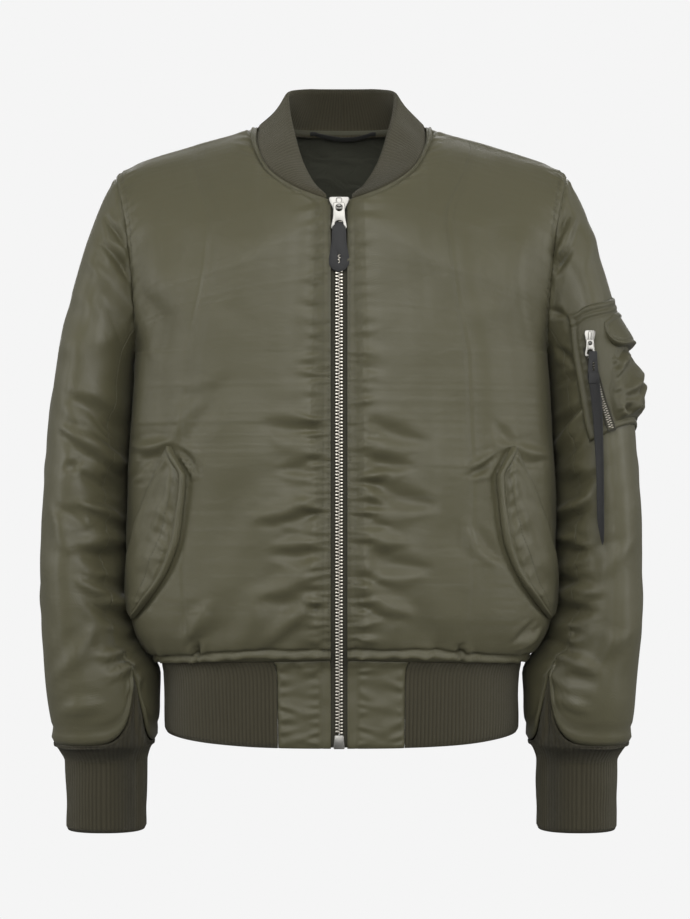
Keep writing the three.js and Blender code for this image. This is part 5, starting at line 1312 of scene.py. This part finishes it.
for extra in (arm_seat, arm_bridge):
    extra.data.materials.append(NICKEL)
active(arm_slider)
for extra in (arm_seat, arm_bridge):
    extra.select_set(True)
bpy.ops.object.join()
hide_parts("arm_zip_slider")

arm_pull_rows = [(3.0, -222.5), (3.9, -223.6), (4.0, -229), (5.2, -236), (5.2, -238.6), (4.2, -239.6)]
arm_eye = arc(ARM_ZIP_X, -234.6, 2.6, 2.2, 0, 180, 10) + [(ARM_ZIP_X - 3.0, -237.4), (ARM_ZIP_X + 3.0, -237.4)]
arm_window = arc(ARM_ZIP_X, -226.4, 1.9, 1.9, -180, 180, 15)[:-1]
arm_pull = plate("arm_pull_plate", mirrored_outline(arm_pull_rows, ARM_ZIP_X), ARM_FRONT - 7.4, ARM_FRONT - 6.1, 0.4,
                 [arm_eye, arm_window], NICKEL, "arm_pull")
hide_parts("arm_zip_pull")
tab_middle = ARM_ZIP_X + 2.6
tab_rows = [(3.6, -234.2), (4.2, -235.6), (4.4, -243), (4.9, -250), (5.4, -258), (5.4, -262), (4.4, -264)]
tab_slot = arc(tab_middle + 0.6, -246.4, 1.1, 1.1, -20, 200, 9) + arc(tab_middle + 0.6, -253.5, 0.8, 0.8, 180, 360, 6)
tab = plate("arm_leather_tab", mirrored_outline(tab_rows, tab_middle), ARM_FRONT - 9.4, ARM_FRONT - 7.8, 0.5, [tab_slot],
            BLACK_LEATHER, "arm_pull")
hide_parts("arm_zip_tab")


def ribbon_material():
    material = leather_material("black_grosgrain", (0.022, 0.022, 0.022), 0.6)
    nodes, links = material.node_tree.nodes, material.node_tree.links
    own, weave, bump = nodes.new("ShaderNodeUVMap"), nodes.new("ShaderNodeGroup"), nodes.new("ShaderNodeBump")
    own.uv_map = "cloth"
    weave.node_tree = TWILL
    weave.inputs["Threads per metre"].default_value = 900 * 2 * math.pi
    bump.inputs["Distance"].default_value = 0.0002
    links.new(own.outputs["UV"], weave.inputs["Vector"])
    links.new(weave.outputs["Height"], bump.inputs["Height"])
    links.new(bump.outputs["Normal"], nodes["Principled BSDF"].inputs["Normal"])
    return material


GROSGRAIN = ribbon_material()
ribbon_rows = table(
    "z left right front",
    (-428, 260.6, 261.0, 11.2), (-424, 259.6, 262.2, 11.3), (-406, 256.2, 262.6, 11.4), (-400, 255.6, 262.6, 11.4),
    (-360, 254.8, 262.4, 11.6), (-320, 252.6, 261.6, 11.9), (-290, 250.2, 260.6, 11.9), (-268, 248.0, 258.2, 11.7),
    (-258, 247.6, 257.6, 11.4))
across, z = np.meshgrid(np.linspace(0, 1, 11), np.linspace(-428, -258, 100))
edge_ridge = 0.45 * np.exp(-((abs(across - 0.5) - 0.42) / 0.06) ** 2)
x = mix(curve(ribbon_rows, "z", z, "left"), curve(ribbon_rows, "z", z, "right"), across)
y = ARM_FRONT - curve(ribbon_rows, "z", z, "front") + 0.6 * np.sin((z + 258) / 24) - edge_ridge + 1.2 * (across - 0.5) * np.sin(z / 31)
front_face = points(x, y + 0.6, z)
ribbon = shell("arm_ribbon", front_face, points(x, y + edge_ridge + 1.7, z), materials=(GROSGRAIN,), body="arm_pull")
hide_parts("arm_zip_ribbon")
fold = plate("arm_ribbon_loop", mirrored_outline([(4.6, -255.5), (5.2, -257), (5.2, -266), (4.8, -267)], tab_middle + 0.4),
             ARM_FRONT - 11.6, ARM_FRONT - 9.6, 0.6, (), BLACK_LEATHER, "arm_pull")

# Neck tape and hanger loop
# A narrow olive tape covers the collar seam inside the back of the neck, and a black cord-like loop of
# folded tape is sewn into it to hang the jacket by.
NECK_BLACK = cloth_material("black_loop_tape", (0.016, 0.016, 0.016), (0.022, 0.022, 0.021), 0.7, 0.2, 300, 0.1, 1200, 0.1)
LABEL_TAPE = cloth_material("olive_neck_tape", (0.078, 0.076, 0.050), (0.088, 0.086, 0.057), 0.8, 0.25, 300, 0.1, 1200, 0.12)


def back_inside(x, z, off):
    return points(x, body_depth(x, np.minimum(z, 1), "back") - off, z)


t, low = np.meshgrid(np.linspace(-1, 1, 90), np.linspace(0, 1, 9))
x = 62 * t
z = mix(5.2, -2.6, low)
swell = 0.8 * np.sin(np.pi * low)
tape_face = back_inside(x, z, 9.4 + 2.6 * t * t + swell)
tape = shell("neck_seam_tape", tape_face, back_inside(x, z, 8.4), materials=(LABEL_TAPE,))
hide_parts("neck_tape")

t, around = np.meshgrid(np.linspace(0, 1, 120), np.linspace(0, 2 * np.pi, 13)[:-1], indexing="ij")
sag = np.sin(np.pi * np.clip((t - 0.08) / 0.84, 0, 1)) ** 0.7
centre_x = mix(-33, 36, t)
centre_z = 1.4 - 5.2 * sag + 0.5 * np.sin(2 * np.pi * t)
half_wide, half_thick = 2.1, 0.9
section = back_inside(centre_x, centre_z + half_wide * np.cos(around), 12.6 + half_thick * np.sin(around) + 2.0 * sag)
loop_piece = cloth_mesh("hanger_cord_loop", section.reshape(-1, 3),
                       [(i * 12 + j, i * 12 + (j + 1) % 12, (i + 1) * 12 + (j + 1) % 12, (i + 1) * 12 + j)
                        for i in range(119) for j in range(12)]
                       + [tuple(range(12))[::-1], tuple(119 * 12 + j for j in range(12))],
                       np.stack((t * 74, around * 2), -1).reshape(-1, 2))
active(loop_piece)
bpy.ops.object.mode_set(mode="EDIT")
bpy.ops.mesh.select_all(action="SELECT")
bpy.ops.mesh.normals_make_consistent(inside=False)
bpy.ops.object.mode_set(mode="OBJECT")
loop_piece.data.materials.append(NECK_BLACK)
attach(loop_piece, "jacket")
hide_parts("hanger_loop")

# Floor and light
# A plain pale studio, so large and even that no edge of it shows, with one broad light from above the
# camera and a weaker one from each side.
def pale_floor():
    bpy.ops.mesh.primitive_plane_add(size=60, location=(0, 0, -0.76))
    floor = bpy.context.object
    floor.name = "floor"
    bpy.ops.object.transform_apply(location=True, rotation=True, scale=True)
    material = bpy.data.materials.new("pale_floor")
    material.use_nodes = True
    nodes, links = material.node_tree.nodes, material.node_tree.links
    nodes.clear()
    out, path = nodes.new("ShaderNodeOutputMaterial"), nodes.new("ShaderNodeLightPath")
    seen, lit, both = nodes.new("ShaderNodeEmission"), nodes.new("ShaderNodeBsdfDiffuse"), nodes.new("ShaderNodeMixShader")
    seen.inputs["Color"].default_value = (0.913, 0.913, 0.913, 1)
    lit.inputs["Color"].default_value = (0.2, 0.2, 0.2, 1)
    links.new(path.outputs["Is Camera Ray"], both.inputs[0])
    links.new(lit.outputs[0], both.inputs[1])
    links.new(seen.outputs[0], both.inputs[2])
    links.new(both.outputs[0], out.inputs["Surface"])
    floor.data.materials.append(material)


pale_floor()
world = bpy.data.worlds.new("studio")
world.use_nodes = True
bpy.context.scene.world = world
nodes, links = world.node_tree.nodes, world.node_tree.links
room, path, level = nodes["Background"], nodes.new("ShaderNodeLightPath"), nodes.new("ShaderNodeMix")
level.inputs["A"].default_value, level.inputs["B"].default_value = 0.29, 0.913
room.inputs["Color"].default_value = (1, 1, 1, 1)
links.new(path.outputs["Is Camera Ray"], level.inputs["Factor"])
links.new(level.outputs["Result"], room.inputs["Strength"])
for name, place, aim, size, power in (
        ("key", (0.05, -1.95, 0.45), (0, 0, -0.2), 1.8, 32), ("left_fill", (3.0, -0.6, 0.2), (0, 0, -0.35), 1.6, 30),
        ("right_fill", (-3.0, -0.6, 0.2), (0, 0, -0.35), 1.6, 30), ("back_light", (0, 3.0, 1.0), (0, 0, -0.3), 2.4, 56)):
    lamp = bpy.data.lights.new(name, "AREA")
    lamp.size, lamp.energy = size, power
    holder = bpy.data.objects.new(name, lamp)
    holder.location = place
    holder.rotation_euler = (Vector(aim) - Vector(place)).to_track_quat("-Z", "Y").to_euler()
    bpy.context.scene.collection.objects.link(holder)
bpy.context.scene.view_settings.view_transform = "Standard"
